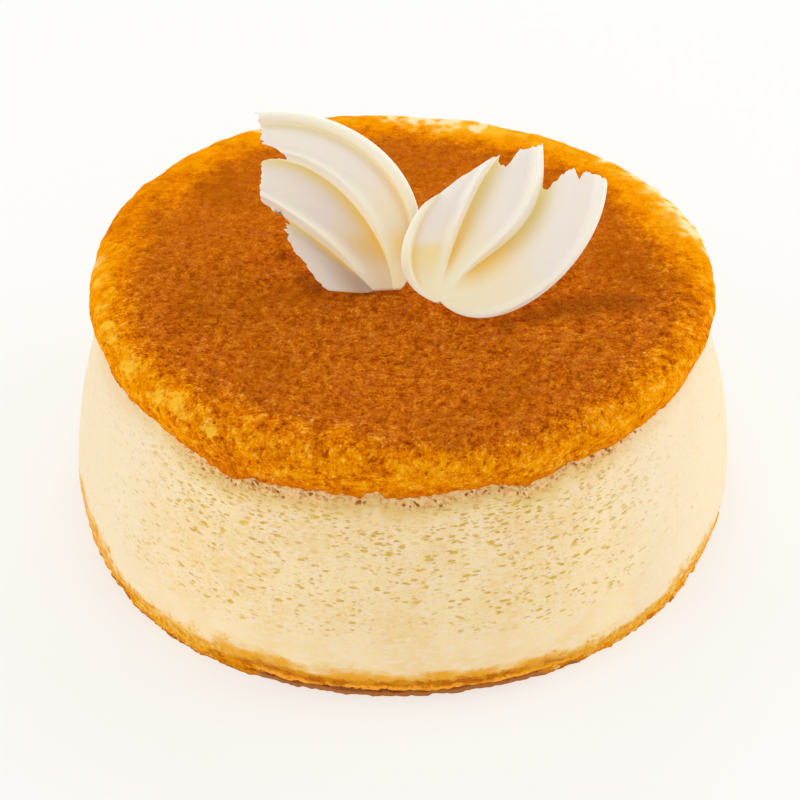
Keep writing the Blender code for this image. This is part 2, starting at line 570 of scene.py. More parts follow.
@dataclass(frozen=True)
class CakeShape:
    """Outer shape of the baked cake: a turned profile that waves make uneven, as the solids have it."""

    height: float = 60.4 * MM
    floor_radius: float = 76.0 * MM
    belly_radius: float = 77.6 * MM
    belly_height: float = 10.0 * MM
    neck_radius: float = 68.0 * MM
    neck_height: float = 48.5 * MM
    straight_share: float = 0.3
    crust_radius: float = 70.2 * MM
    crust_height: float = 55.8 * MM
    shoulder_width: float = 6.9 * MM
    top_waves: tuple = ((2, 0.0124, -25.0), (3, 0.0124, 8.5), (4, 0.0071, 39.0))
    floor_waves: tuple = ((2, 0.0096, -64.0), (3, 0.0112, 8.0), (4, 0.0069, 40.0))
    middle_steps: int = 72

    def side_radius(self, height: Array) -> Array:
        """Radius of the turned side at a height, from the floor up to where the crust is widest.

        Args:
            height: Heights above the floor.

        Returns:
            The radius at each height.
        """
        swell = np.sin(0.5 * math.pi * height / self.belly_height)
        foot = blend(self.floor_radius, self.belly_radius, swell)
        climb = (height - self.belly_height) / (self.neck_height - self.belly_height)
        drawn_in = blend(climb * climb, climb, self.straight_share)
        side = blend(self.belly_radius, self.neck_radius, drawn_in)
        flare = (height - self.neck_height) / (self.crust_height - self.neck_height)
        lid = blend(self.neck_radius, self.crust_radius, flare)
        return np.where(height < self.belly_height, foot, np.where(height < self.neck_height, side, lid))

    @staticmethod
    def _wave(waves: tuple, angle: Array) -> Array:
        """Share of the radius that the outline stands out at an angle."""
        return sum(share * np.cos(count * (angle - math.radians(crest))) for count, share, crest in waves)

    def uneven(self, points: Array) -> Array:
        """Moves points of the turned shape to where they lie on the uneven cake.

        Args:
            points: Points of the turned shape.

        Returns:
            The moved points.
        """
        angle = np.arctan2(points[:, 1], points[:, 0])
        climb = points[:, 2] / self.height
        share = blend(self._wave(self.floor_waves, angle), self._wave(self.top_waves, angle), climb)
        moved = points.copy()
        moved[:, :2] *= (1.0 + share)[:, None]
        return moved

    def middle(self) -> Array:
        """Middle of the belly's outline, which the origin lies under.

        Returns:
            A point on the floor.
        """
        belly = self.spoke(once_round(self.middle_steps), self.belly_radius, self.belly_height)
        ring = self.uneven(belly)
        low, high = ring.min(axis=0), ring.max(axis=0)
        return np.array((0.5 * (low[0] + high[0]), 0.5 * (low[1] + high[1]), 0.0))

    @staticmethod
    def spoke(angle: Any, radius: Any, height: Any) -> Array:
        """Points at an angle round the axis, a radius from it and a height."""
        parts = np.broadcast_arrays(radius * np.cos(angle), radius * np.sin(angle), height)
        return np.stack(parts, axis=-1)

    def settle(self, points: Array) -> Array:
        """Turned points made uneven and moved over the origin."""
        return self.uneven(points) - self.middle()


@dataclass(frozen=True)
class CrustLine:
    """Where the browned crust stops on the side, as a height at each angle."""

    height: float = 48.1 * MM
    wobble: float = 0.35 * MM
    frays: float = 0.36 * MM
    crumble: float = 0.2 * MM
    # Slow rise and fall, in millimetres: (degrees from +X, rise).
    drift: AngleTable = (
        (-170.0, -0.6), (-157.0, -0.6), (-150.0, 1.0), (-144.0, 2.1), (-134.0, 1.8), (-121.0, -1.3),
        (-108.0, 0.3), (-98.0, 0.0), (-88.0, -0.2), (-80.0, 0.8), (-75.0, 1.2), (-68.0, -0.8),
        (-58.0, 1.1), (-46.0, 0.9), (-32.0, 1.6), (-5.0, 1.4), (30.0, 0.5), (60.0, 2.0), (95.0, 0.4),
        (130.0, 1.6), (160.0, 0.0),
    )
    # Bites where the pale side climbs over the crust: (degrees from +X, half width, rise in millimetres).
    bites: tuple = (
        (-138.6, 1.6, 1.3), (-94.6, 1.5, 1.5), (-73.2, 1.2, 0.6), (-59.6, 1.6, 1.0), (-117.0, 1.4, 0.6),
        (38.0, 2.6, 1.6), (112.0, 2.0, 1.4), (75.0, 3.0, -1.1), (-20.0, 2.0, 1.1),
    )

    def at(self, angle: Array) -> Array:
        """Height of the line at each angle.

        Args:
            angle: Angles in radians.

        Returns:
            One height per angle.
        """
        shape = CakeShape()
        ring = shape.spoke(angle, shape.neck_radius, 0.0)
        line = self.height + round_table(angle, self.drift) * MM
        line = line + self.wobble * lumps(ring, 5.5 * MM, 5) + self.frays * lumps(ring, 1.7 * MM, 8)
        line = line + self.crumble * lumps(ring, 0.85 * MM, 13)
        crumbled = 1.0 + 0.55 * lumps(ring, 1.2 * MM, 15)
        for degrees, half_width, rise in self.bites:
            turn = turn_between(angle, math.radians(degrees))
            line = line + rise * MM * bell(turn, math.radians(half_width), 4) * crumbled
        return line


@dataclass(frozen=True)
class Toasting:
    """How toasted the foot of the cake is, round and up it."""

    # How far the foot has split into a loose, flaking skin: (degrees from +X, share).
    flaking: AngleTable = (
        (-180.0, 0.0), (-127.0, 0.0), (-118.0, 0.35), (-110.0, 0.95), (-104.0, 1.0), (-80.0, 1.0),
        (-72.0, 0.75), (-64.0, 0.35), (-50.0, 0.15), (0.0, 0.0), (50.0, 0.6), (70.0, 0.9), (95.0, 0.3),
        (130.0, 0.8), (155.0, 0.2),
    )
    # How far up the stain is stretched: (degrees from +X, times).
    climb: AngleTable = (
        (-180.0, 2.0), (-160.0, 2.2), (-150.0, 1.8), (-140.0, 1.3), (-128.0, 1.2), (-116.0, 1.25),
        (-104.0, 1.05), (-66.0, 1.0), (-50.0, 0.9), (-40.0, 1.15), (-30.0, 1.5), (0.0, 1.6), (60.0, 1.1),
        (95.0, 1.0), (135.0, 1.3), (160.0, 1.4),
    )
    crumb: float = 0.16 * MM
    crumb_grain: Grain = ((1.0, 1.9 * MM, 53), (0.7, 1.0 * MM, 54))
    span: float = 12.0 * MM  # height that the stain's tints are spread over
    wavy: Span = (4.0 * MM, 8.0 * MM)  # heights between which the stain turns wavy
    scorch_top: Span = (5.6 * MM, 4.0 * MM)
    crumb_top: Span = (9.0 * MM, 3.5 * MM)
    # Scorched spots: (degrees from +X, half width in degrees).
    scorched: AngleTable = ((-118.0, 5.0), (-143.0, 3.0), (20.0, 7.0), (108.0, 6.0))
    # Golden stains: (degrees from +X, millimetres up, half width in degrees, half height in millimetres).
    stains: tuple = (
        (-117.0, 7.8, 4.6, 1.7), (-108.6, 8.2, 3.8, 1.5), (-98.8, 7.0, 5.2, 1.9), (-93.0, 7.0, 2.4, 1.2),
        (-85.0, 7.6, 4.0, 1.5), (-77.0, 7.0, 4.0, 1.4), (-68.0, 6.6, 3.0, 1.2), (55.0, 7.4, 6.0, 1.6),
        (68.0, 7.8, 4.0, 1.4), (88.0, 7.2, 5.0, 1.5), (124.0, 7.6, 6.0, 1.7), (140.0, 7.0, 4.0, 1.4),
    )

    def loose(self, angle: Array) -> Array:
        """How loose the foot's skin is at each angle, from 0 to 1."""
        return round_table(angle, self.flaking)

    def rise(self, angle: Array, points: Array) -> Array:
        """Height above the floor as the stain sees it, as a share of its span.

        Args:
            angle: Angle of each point.
            points: Points of the turned shape.

        Returns:
            The share at each point, from 0 to 1.
        """
        waves = lumps(points, 9.0 * MM, 21, 2.0) + 0.5 * lumps(points, 2.6 * MM, 22)
        waves = MM * waves * blend(0.2, 0.9, ease(points[:, 2], *self.wavy))
        level = points[:, 2] / round_table(angle, self.climb)
        return np.clip((level + waves) / self.span, 0.0, 1.0)

    def scorch(self, angle: Array, points: Array) -> Array:
        """How deeply the foot is scorched at each point, from 0 to 1.

        Args:
            angle: Angle of each point.
            points: Points of the turned shape.

        Returns:
            The depth of scorching.
        """
        spots = [
            bell(turn_between(angle, math.radians(degrees)), math.radians(half_width), 4)
            for degrees, half_width in self.scorched
        ]
        return np.max(spots, axis=0) * ease(points[:, 2], *self.scorch_top)

    def stain(self, angle: Array, points: Array) -> Array:
        """How deep a golden stain each point has, from 0 to 1.

        Args:
            angle: Angle of each point.
            points: Points of the turned shape.

        Returns:
            The depth of the stain.
        """
        blots = [
            bell(turn_between(angle, math.radians(degrees)), math.radians(half_width))
            * bell(points[:, 2] / MM - level, half_height)
            for degrees, level, half_width, half_height in self.stains
        ]
        return np.max(blots, axis=0)

    def masks(self, angle: Array, points: Array) -> dict[str, Array]:
        """What the finish of a toasted side reads at each point.

        Args:
            angle: Angle of each point.
            points: Points of the turned shape.

        Returns:
            The masks by name.
        """
        return {
            "rise": self.rise(angle, points),
            "loose": self.loose(angle),
            "scorch": self.scorch(angle, points),
            "stain": self.stain(angle, points),
        }

    def crumbs(self, points: Array) -> Array:
        """Relief of the crumb near the floor."""
        grain = layered(points, self.crumb_grain) - 0.5
        return self.crumb * grain * ease(points[:, 2], *self.crumb_top)


@dataclass
class Crust:
    """The browned top: a crumbed skin over the flat top, the shoulder and the upper side."""

    shape: CakeShape
    line: CrustLine
    steps: int = 300  # of the square grid that is wrapped over the top
    flat_share: float = 0.80
    shoulder_share: float = 0.91
    tuck: float = 0.55 * MM  # of the crust's edge into the side
    undulation: float = 0.30 * MM
    knob: float = 0.17 * MM
    crumb: float = 0.12 * MM
    broad_grain: Grain = ((1.0, 26.0 * MM, 6), (0.6, 9.0 * MM, 7))
    knob_grain: Grain = ((1.0, 4.2 * MM, 9), (0.6, 2.3 * MM, 10))
    fine_grain: Grain = ((1.0, 1.7 * MM, 11), (0.8, 0.95 * MM, 12))
    pitted: Span = (0.45, 0.95)  # heights of the grain that become pits
    smooth: Span = (0.32, 0.6)  # and those that become smooth patches
    rolled_in: Span = (0.992, 1.0)  # shares of the way out between which the edge turns in
    skirt: Span = (0.955, 0.998)  # and between which it turns amber
    calming: Span = (60.0 * MM, 120.0 * MM)  # distances from the front edge where the grain grows calm
    # The golden ring: (degrees from +X, shares of the way out where it begins and is full, brightness).
    ring: tuple = (
        (-180.0, 0.67, 0.89, 1.1), (-165.0, 0.69, 0.88, 0.8), (-150.0, 0.71, 0.86, 0.74),
        (-135.0, 0.72, 0.86, 0.74), (-120.0, 0.67, 0.85, 0.48), (-105.0, 0.70, 0.87, 0.58),
        (-90.0, 0.785, 0.88, 0.74), (-75.0, 0.82, 0.91, 0.66), (-60.0, 0.77, 0.92, 0.64),
        (-45.0, 0.72, 0.90, 0.8), (-30.0, 0.73, 0.88, 0.74), (-15.0, 0.68, 0.92, 0.55),
        (0.0, 0.64, 0.89, 0.9), (15.0, 0.63, 0.82, 1.15), (45.0, 0.63, 0.84, 1.0),
        (75.0, 0.62, 0.80, 1.2), (90.0, 0.64, 0.82, 1.02), (120.0, 0.64, 0.84, 0.9),
        (150.0, 0.58, 0.87, 0.62), (165.0, 0.57, 0.9, 0.55),
    )
    ring_drift: float = 0.02
    # A raised crumb, and the rise round the fans' roots: (x, y, radius, height).
    swellings: tuple = (
        (-27.2 * MM, 4.3 * MM, 1.7 * MM, 1.2 * MM), (0.0, -15.0 * MM, 16.0 * MM, 0.25 * MM),
    )
    # Pale blotches in the browning: (degrees from +X, share of the way out, size in millimetres).
    pale_spots: tuple = (
        (-176.0, 0.856, 2.4), (-166.5, 0.852, 1.8), (-160.5, 0.85, 1.8), (-157.0, 0.846, 2.0),
        (-147.2, 0.852, 2.6), (-136.5, 0.86, 2.4), (-132.5, 0.852, 1.9), (-129.5, 0.868, 1.5),
        (-124.2, 0.872, 1.8), (-13.0, 0.89, 1.4), (-3.0, 0.898, 1.6), (5.5, 0.866, 1.8),
        (12.0, 0.868, 5.6), (20.0, 0.866, 5.8), (27.0, 0.858, 4.4), (34.0, 0.85, 3.0), (42.0, 0.85, 2.6),
        (72.0, 0.815, 4.0), (79.0, 0.815, 5.0), (86.0, 0.82, 5.0), (92.0, 0.83, 3.2), (120.0, 0.85, 2.4),
        (177.0, 0.872, 2.4),
    )
    # Painted shadow: darker brown spots where the fans, and the raised crumb near the left fan, shade the
    # crust: (x, y, size) in millimetres.
    shadow_spots: tuple = (
        (22.5, -23.4, 3.2), (28.5, -20.8, 4.2), (34.0, -18.0, 5.0), (39.5, -16.6, 5.2),
        (45.0, -15.6, 4.8), (50.0, -15.0, 4.0), (-27.4, 2.3, 1.4), (-25.6, 2.6, 1.2), (-22.0, -5.0, 2.8),
        (-19.6, -9.4, 3.0),
    )
    spread_out: float = 80.0 * MM  # length along the skin from the middle to the crust line

    def _wrap(self) -> tuple[Array, Array]:
        """Lays a square grid over a disc.

        Returns:
            How far out each grid point lies, from 0 to 1, and its angle.
        """
        side = np.linspace(-1.0, 1.0, self.steps + 1)
        across, up = pairs(side, side)
        wide = np.abs(across) > np.abs(up)
        reach = np.where(wide, across, up)
        safe = np.where(reach == 0.0, 1.0, reach)
        quarter = 0.25 * math.pi
        angle = np.where(wide, quarter * up / safe, 0.5 * math.pi - quarter * across / safe)
        angle = np.where(reach < 0.0, angle + math.pi, angle)
        return np.abs(reach), angle % (2.0 * math.pi)

    def _profile(self, out: Array, angle: Array) -> tuple[Array, Array, Array, Array]:
        """The smooth skin before its relief.

        Args:
            out: How far out each point lies, from 0 at the middle to 1 at the crust line.
            angle: Angle of each point.

        Returns:
            Radius, height, and the outward normal's radial and vertical parts.
        """
        shape = self.shape
        flat_end = shape.crust_radius - shape.shoulder_width
        bend = (out - self.flat_share) / (self.shoulder_share - self.flat_share)
        bend = np.clip(bend, 0.0, 1.0) * 0.5 * math.pi
        drop = np.clip((out - self.shoulder_share) / (1.0 - self.shoulder_share), 0.0, 1.0)
        rounded = flat_end + shape.shoulder_width * np.sin(bend)
        radius = np.where(out < self.flat_share, flat_end * out / self.flat_share, rounded)
        height = blend(shape.crust_height, shape.height, np.cos(bend))
        end = self.line.at(angle)
        height = np.where(drop > 0.0, blend(shape.crust_height, end, drop), height)
        radius = np.where(drop > 0.0, shape.side_radius(height), radius)
        return radius, height, np.sin(bend), np.cos(bend)

    def _pale(self, out: Array, angle: Array, places: Array) -> Array:
        """How pale each point is, from 0 to 1.

        Args:
            out: How far out each point lies.
            angle: Angle of each point.
            places: Points of the turned shape.

        Returns:
            The paleness.
        """
        blotches = []
        for degrees, far, size in self.pale_spots:
            across = turn_between(angle, math.radians(degrees)) * self.shape.crust_radius
            blotches.append(bell(np.hypot(across, (out - far) * self.spread_out), size * MM))
        return np.clip(np.max(blotches, axis=0) * (0.95 + 0.8 * lumps(places, 2.2 * MM, 31)), 0.0, 1.0)

    def _ring(self, out: Array, angle: Array, turned: Array) -> tuple[Array, Array]:
        """How far each point lies into the golden ring, and how bright the ring is there.

        Args:
            out: How far out each point lies.
            angle: Angle of each point.
            turned: Points of the turned shape.

        Returns:
            The share of the ring and its brightness.
        """
        begin, full, bright = (
            round_table(angle, [(row[0], row[item]) for row in self.ring]) for item in (1, 2, 3)
        )
        return ease(out + self.ring_drift * lumps(turned, 7.0 * MM, 3), begin, full), bright

    def _relief(self, turned: Array, places: Array, shoulder: Array, crumbs: Array) -> Array:
        """Relief of the skin.

        Args:
            turned: Points of the turned shape.
            places: Where those points lie on the uneven cake.
            shoulder: How far into the golden ring each lies.
            crumbs: How far its crumb stands out.

        Returns:
            How far each point stands out.
        """
        knobs = layered(turned, self.knob_grain) * shoulder
        soft = ease(lumps(turned, 11.0 * MM, 2) - 0.15 * shoulder, *self.smooth)
        relief = self.undulation * (layered(turned, self.broad_grain) - 0.1) + self.knob * knobs
        relief = relief + self.crumb * crumbs * (1.0 - 0.7 * soft)
        for x, y, size, rise in self.swellings:
            relief = relief + rise * spot(places, x, y, size)
        return relief

    def build(self, material: bpy.types.Material) -> bpy.types.Object:
        """Makes the crust.

        Args:
            material: The crust's finish.

        Returns:
            The piece.
        """
        out, angle = self._wrap()
        radius, height, lean, lift = self._profile(out, angle)
        turned = self.shape.spoke(angle, radius, height)
        places = self.shape.settle(turned)
        shoulder, bright = self._ring(out, angle, turned)
        from_front = np.hypot(turned[:, 0], turned[:, 1] + self.shape.crust_radius)
        calm = ease(from_front, *self.calming)
        fine = layered(turned, self.fine_grain)
        pits = ease(lumps(turned, 1.25 * MM, 14), *self.pitted)
        relief = self._relief(turned, places, shoulder, (fine - 2.0 * pits) * (1.0 - 0.5 * calm))
        relief = blend(relief, -self.tuck, ease(out, *self.rolled_in))
        on_side = out > self.shoulder_share
        radius = radius + relief * np.where(on_side, 1.0, lean)
        height = height + relief * np.where(on_side, 0.0, lift)
        moved = self.shape.settle(self.shape.spoke(angle, radius, height))
        # painted shadow of the fans and of the raised crumb
        shadow_spots = [spot(places, x * MM, y * MM, size * MM) for x, y, size in self.shadow_spots]
        masks = {
            "crumb": np.clip(0.5 + 0.28 * fine - 0.5 * pits, 0.0, 1.0),
            "glow": shoulder * bright,
            "skirt": ease(out, *self.skirt),
            "pale": self._pale(out, angle, turned),
            "calm": calm,
            # painted shadow
            "smudge": np.max(shadow_spots, axis=0),
        }
        skin = self._close(moved, masks)
        return skin.make("browned_crust", material, Slot.CHEESECAKE, Part.BODY)

    def _close(self, points: Array, masks: dict[str, Array]) -> Skin:
        """Joins the grid into faces and closes it below.

        Args:
            points: The grid's points, row by row.
            masks: What the finish reads.

        Returns:
            The closed skin.
        """
        size = self.steps + 1
        index = np.arange(size * size).reshape(size, size)
        edge = outline(index)
        count = len(edge)
        inner = points[edge] * np.array((0.93, 0.93, 0.0)) + np.array((0.0, 0.0, self.shape.neck_height))
        below = len(points) + np.arange(count)
        faces = grid_faces(index).tolist() + band_faces(edge, below)
        masks = {name: np.concatenate((values, values[edge])) for name, values in masks.items()}
        turn = once_round(count)[::-1]
        disc = 0.985 + 0.012 * np.stack((np.cos(turn), np.sin(turn)), axis=-1)
        sheet = [
            grid_sheet(self.steps, self.steps, (0.0, 0.0), (0.95, 0.95)),
            grid_sheet(1, count, (0.0, 0.955), (0.95, 0.965))[:, [1, 0, 3, 2]],
            disc,
        ]
        return Skin(np.concatenate((points, inner)), faces, masks, sheet, [below[::-1].tolist()])


@dataclass(frozen=True)
class Pores:
    """One kind of hole in the custard: how many, where they lie and how big they are."""

    count: int
    low: float  # heights between which they lie
    high: float
    length: float  # typical full length
    spread: float  # how much lengths differ
    flatness: tuple[float, float]  # height as a share of length, at the low and the high limit
    depth: float
    seed: int
    tilt: float = 0.22


@dataclass
class Custard:
    """The pale side: a soft skin with flattened pores and a lacy foam line under the crust."""

    shape: CakeShape
    line: CrustLine
    toasting: Toasting
    columns: int = 984
    fine_rows: int = 78
    coarse_rows: int = 20
    fine_end: float = 21.0 * MM  # height down to which the rows are close together
    follow_from: float = 30.0 * MM  # height above which the rows follow the crust's edge
    foot: float = 4.6 * MM  # height of the side's lower edge
    hidden: float = 2.0 * MM  # how far the side runs up behind the crust
    recess: float = 0.75 * MM  # of the side behind the crust's edge
    recessed: Span = (3.5 * MM, 0.2 * MM)  # distances below that edge between which it draws back
    undulation: float = 0.16 * MM
    ripple: float = 0.05 * MM
    upper_ripple: float = 0.07 * MM
    upper: Span = (30.0 * MM, 46.0 * MM)  # heights between which that ripple sets in
    froth: float = 0.1 * MM
    kinds: tuple[Pores, ...] = (
        Pores(90, 20.0 * MM, 44.0 * MM, 1.9 * MM, 0.25, (0.38, 0.28), 0.22 * MM, 103),
        Pores(420, 17.0 * MM, 47.0 * MM, 1.4 * MM, 0.25, (0.42, 0.32), 0.15 * MM, 105),
    )
    # How crowded the pores are: (degrees from +X, share). Where it is low the sides also get painted sheen
    # and less painted shade under the crust.
    crowding: AngleTable = (
        (-172.0, 0.15), (-155.0, 0.22), (-142.0, 0.42), (-126.0, 0.92), (-58.0, 1.0), (-45.0, 0.45),
        (-32.0, 0.2), (0.0, 0.1), (40.0, 0.7), (140.0, 0.7),
    )
    longest: float = 3.0 * MM  # length of the longest pore
    lowest: float = 0.4 * MM  # height of the flattest pore
    below_span: float = 10.0 * MM  # distance below the crust that the finish reads as 1
    level_span: float = 60.0 * MM  # height that the finish reads as 1
    foam_pits: int = 230
    foam_start: float = 0.7 * MM  # below the crust's edge
    foam_drop: float = 2.0 * MM
    foam_band: Span = (3.2 * MM, 0.9 * MM)  # distances below the crust's edge between which it turns foamy
    foam_size: tuple[float, float] = (0.24, 0.52)  # smallest and largest half length, in millimetres
    foam_tilt: float = 0.3
    foam_depth: float = 0.28 * MM
    pore_floor: float = 0.35  # how much of a pore's width is flat floor
    foam_floor: float = 0.3
    foam_seed: int = 77

    def _grid(self) -> tuple[Array, Array]:
        """Angle and height of each point of the side, row by row from the top.

        Returns:
            The angles and the heights.
        """
        angle = once_round(self.columns)
        line = self.line.at(angle)
        start = self.line.height
        fine = np.linspace(start + self.hidden, self.fine_end, self.fine_rows)
        coarse = np.linspace(self.fine_end, self.foot, self.coarse_rows + 1)[1:]
        level = np.concatenate((fine, coarse))
        follow = ease(level, self.follow_from, start)
        heights = level[:, None] + (line - start)[None, :] * follow[:, None]
        return np.tile(angle, len(level)), heights.ravel()

    def _holes(self) -> list[Hole]:
        """The pores of every kind.

        Returns:
            One hole per pore.
        """
        holes = []
        for kind in self.kinds:
            draw = np.random.default_rng(kind.seed)
            made = 0
            while made < kind.count:
                angle, climb = draw.uniform(0.0, 2.0 * math.pi), draw.uniform()
                height = blend(kind.low, kind.high, climb)
                place = self.shape.spoke(angle, self.shape.neck_radius, height)
                crowd = 0.5 + 1.1 * lumps(place[None, :], 8.0 * MM, 104)[0]
                size, tilt, flat = draw.normal(), draw.normal(), draw.uniform(0.75, 1.3)
                if draw.uniform() > crowd * round_table(angle, self.crowding):
                    continue
                half = min(0.5 * kind.length * math.exp(kind.spread * size), 0.5 * self.longest)
                tall = max(half * blend(*kind.flatness, climb) * flat, 0.5 * self.lowest)
                depth = kind.depth * min(half / kind.length * 2.0, 1.6)
                holes.append((angle, height, half, tall, kind.tilt * tilt, depth))
                made += 1
        return holes

    def _foam(self) -> list[Hole]:
        """Open bubbles in a broken line under the crust.

        Returns:
            One hole per bubble.
        """
        draw = np.random.default_rng(self.foam_seed)
        angles = draw.uniform(0.0, 2.0 * math.pi, self.foam_pits)
        line = self.line.at(angles)
        holes = []
        for angle, top in zip(angles, line):
            drop = self.foam_start + self.foam_drop * draw.uniform() ** 1.6
            half = draw.uniform(*self.foam_size) * MM
            tilt = draw.normal() * self.foam_tilt
            holes.append((angle, top - drop, half * 1.15, half * 0.85, tilt, self.foam_depth))
        return holes

    def _pierce(self, height: Array, holes: list[Hole], floor: float) -> tuple[Array, Array]:
        """Sinks holes into the side.

        Args:
            height: Height of each point, row by row.
            holes: The holes.
            floor: How much of their width is flat floor.

        Returns:
            The depth at each point, and how far inside a hole it lies, from -1 outside to 1 in its middle.
        """
        heights = height.reshape(-1, self.columns)
        depth = np.zeros_like(heights)
        inside = np.full_like(heights, -1.0)
        step = 2.0 * math.pi / self.columns
        for turn, level, half, tall, tilt, deep in holes:
            radius = float(self.shape.side_radius(level))
            reach = int(2.0 * half / (radius * step)) + 2
            middle = int(round(turn / step))
            columns = (middle + np.arange(-reach, reach + 1)) % self.columns
            near = np.abs(heights[:, columns[reach]] - level)
            band = np.nonzero(near < 2.2 * tall + 2.0 * half * abs(tilt) + 0.3 * MM)[0]
            if not len(band):
                continue
            patch = np.ix_(band, columns)
            across = turn_between(columns * step, turn)[None, :] * radius
            up = heights[patch] - level
            along = across * math.cos(tilt) + up * math.sin(tilt)
            beside = up * math.cos(tilt) - across * math.sin(tilt)
            apart = np.sqrt((along / half) ** 2 + (beside / tall) ** 2)
            depth[patch] = np.maximum(depth[patch], deep * ease(apart, 1.25, floor))
            inside[patch] = np.maximum(inside[patch], 1.0 - apart)
        return depth.ravel(), inside.ravel()

    def _relief(self, turned: Array, below: Array, holes: Array, bubbles: Array) -> Array:
        """Relief of the side.

        Args:
            turned: Points of the turned shape.
            below: How far each lies below the crust's edge.
            holes: How deep a pore or a bubble is there.
            bubbles: How foamy the skin is there.

        Returns:
            How far each point stands out.
        """
        upper = ease(turned[:, 2], *self.upper)
        relief = self.undulation * (lumps(turned, 15.0 * MM, 41) - 1.1) - holes
        relief = relief + self.ripple * lumps(turned, 3.0 * MM, 42, 2.5)
        relief = relief + self.upper_ripple * upper * lumps(turned, 2.4 * MM, 43, 4.0)
        relief = relief + self.froth * bubbles * lumps(turned, 0.9 * MM, 46)
        relief = relief - self.recess * ease(below, *self.recessed)
        return relief + self.toasting.crumbs(turned)

    def build(self, material: bpy.types.Material) -> bpy.types.Object:
        """Makes the side.

        Args:
            material: The custard's finish.

        Returns:
            The piece.
        """
        angle, height = self._grid()
        radius = self.shape.side_radius(height)
        turned = self.shape.spoke(angle, radius, height)
        below = self.line.at(angle) - height
        crowd = round_table(angle, self.crowding)
        pore_depth, pore = self._pierce(height, self._holes(), self.pore_floor)
        foam_depth, foam = self._pierce(height, self._foam(), self.foam_floor)
        broken = 0.55 + 0.5 * ease(lumps(turned, 12.0 * MM, 45), -0.5, 0.5)
        foam_share = broken * ease(crowd, 0.1, 0.8)
        bubbles = ease(below, *self.foam_band) * foam_share
        relief = self._relief(turned, below, pore_depth + foam_depth * foam_share, bubbles)
        points = self.shape.settle(self.shape.spoke(angle, radius + relief, height))
        masks = {
            "pore": np.clip(pore, -1.0, 1.0),
            "foam_pit": np.clip(foam, -1.0, 1.0),
            "foam": bubbles,
            "crowd": crowd,
            "below": np.clip(below / self.below_span, 0.0, 1.0),
            "level": height / self.level_span,
            **self.toasting.masks(angle, turned),
        }
        skin = tube(points, self.columns, masks, 0.96)
        return skin.make("custard_side", material, Slot.CHEESECAKE, Part.BODY)


@dataclass
class SpongeBase:
    """The thin sponge under the custard, with a toasted skin that lifts in flakes at its foot."""

    shape: CakeShape
    toasting: Toasting
    columns: int = 984
    rows: int = 44
    top: float = 5.2 * MM
    hidden_from: float = 4.6 * MM  # height above which it draws back behind the custard
    tuck: float = 0.5 * MM
    ledge: float = 3.1 * MM  # height of the loose flakes
    ledge_half: float = 0.6 * MM
    groove: float = 2.0 * MM  # height of the dark gap under them
    groove_half: float = 0.5 * MM
    gap: float = 0.85 * MM
    flake: float = 0.45 * MM
    scallop: float = 0.5 * MM
    ridge: float = 0.4 * MM
    # How the flakes' height drifts, where they are torn away, and the foot's scallops and ridges.
    drift: Grain = ((0.35 * MM, 8.0 * MM, 51), (0.2 * MM, 2.5 * MM, 52))
    torn_grain: Grain = ((1.0, 4.0 * MM, 55), (0.6, 1.5 * MM, 56))
    torn: Span = (-0.7, 0.3)
    scallop_grain: Grain = ((1.0, 3.6 * MM, 57), (0.4, 1.3 * MM, 58))
    scalloped: Span = (-0.5, 0.4)
    scallop_top: Span = (1.9 * MM, 1.2 * MM)
    ridge_grain: Grain = ((1.0, 2.6 * MM, 59), (0.6, 1.2 * MM, 60))
    ridge_top: Span = (5.0 * MM, 2.0 * MM)

    def _relief(self, angle: Array, turned: Array, ring: Array) -> tuple[Array, Array]:
        """Relief of the base, and how much of each point is a bright flake.

        Args:
            angle: Angle of each point.
            turned: Points of the turned shape.
            ring: The same points brought down to one level ring.

        Returns:
            The relief and the flakes.
        """
        height = turned[:, 2]
        loose = self.toasting.loose(angle)
        drift = layered(ring, self.drift)
        torn = ease(layered(ring, self.torn_grain), *self.torn)
        flake = bell(height - self.ledge - drift, self.ledge_half, 4) * torn * loose
        groove = bell(height - self.groove - drift, self.groove_half, 4) * loose
        scallops = 1.0 - ease(layered(ring, self.scallop_grain), *self.scalloped)
        relief = self.toasting.crumbs(turned) + self.flake * (flake - 0.6 * loose) - self.gap * groove
        relief = relief - self.scallop * scallops * loose * ease(height, *self.scallop_top)
        ridges = layered(turned, self.ridge_grain) - 0.3
        relief = relief + self.ridge * ridges * (1.0 - loose) * ease(height, *self.ridge_top)
        relief = relief - self.tuck * ease(height, self.hidden_from, self.top)
        return relief, flake

    def build(self, material: bpy.types.Material) -> bpy.types.Object:
        """Makes the base.

        Args:
            material: The sponge's finish.

        Returns:
            The piece.
        """
        angle = np.tile(once_round(self.columns), self.rows)
        height = np.repeat(np.linspace(self.top, 0.0, self.rows), self.columns)
        radius = self.shape.side_radius(height)
        turned = self.shape.spoke(angle, radius, height)
        ring = self.shape.spoke(angle, self.shape.floor_radius, 0.0)
        relief, flake = self._relief(angle, turned, ring)
        points = self.shape.settle(self.shape.spoke(angle, radius + relief, height))
        masks = {**self.toasting.masks(angle, turned), "flake": flake}
        skin = tube(points, self.columns, masks, 0.5)
        return skin.make("sponge_base_finish", material, Slot.SPONGE, Part.BASE)


# ----------------------------------------------------------------------------------------------------------
# The fans
# ----------------------------------------------------------------------------------------------------------


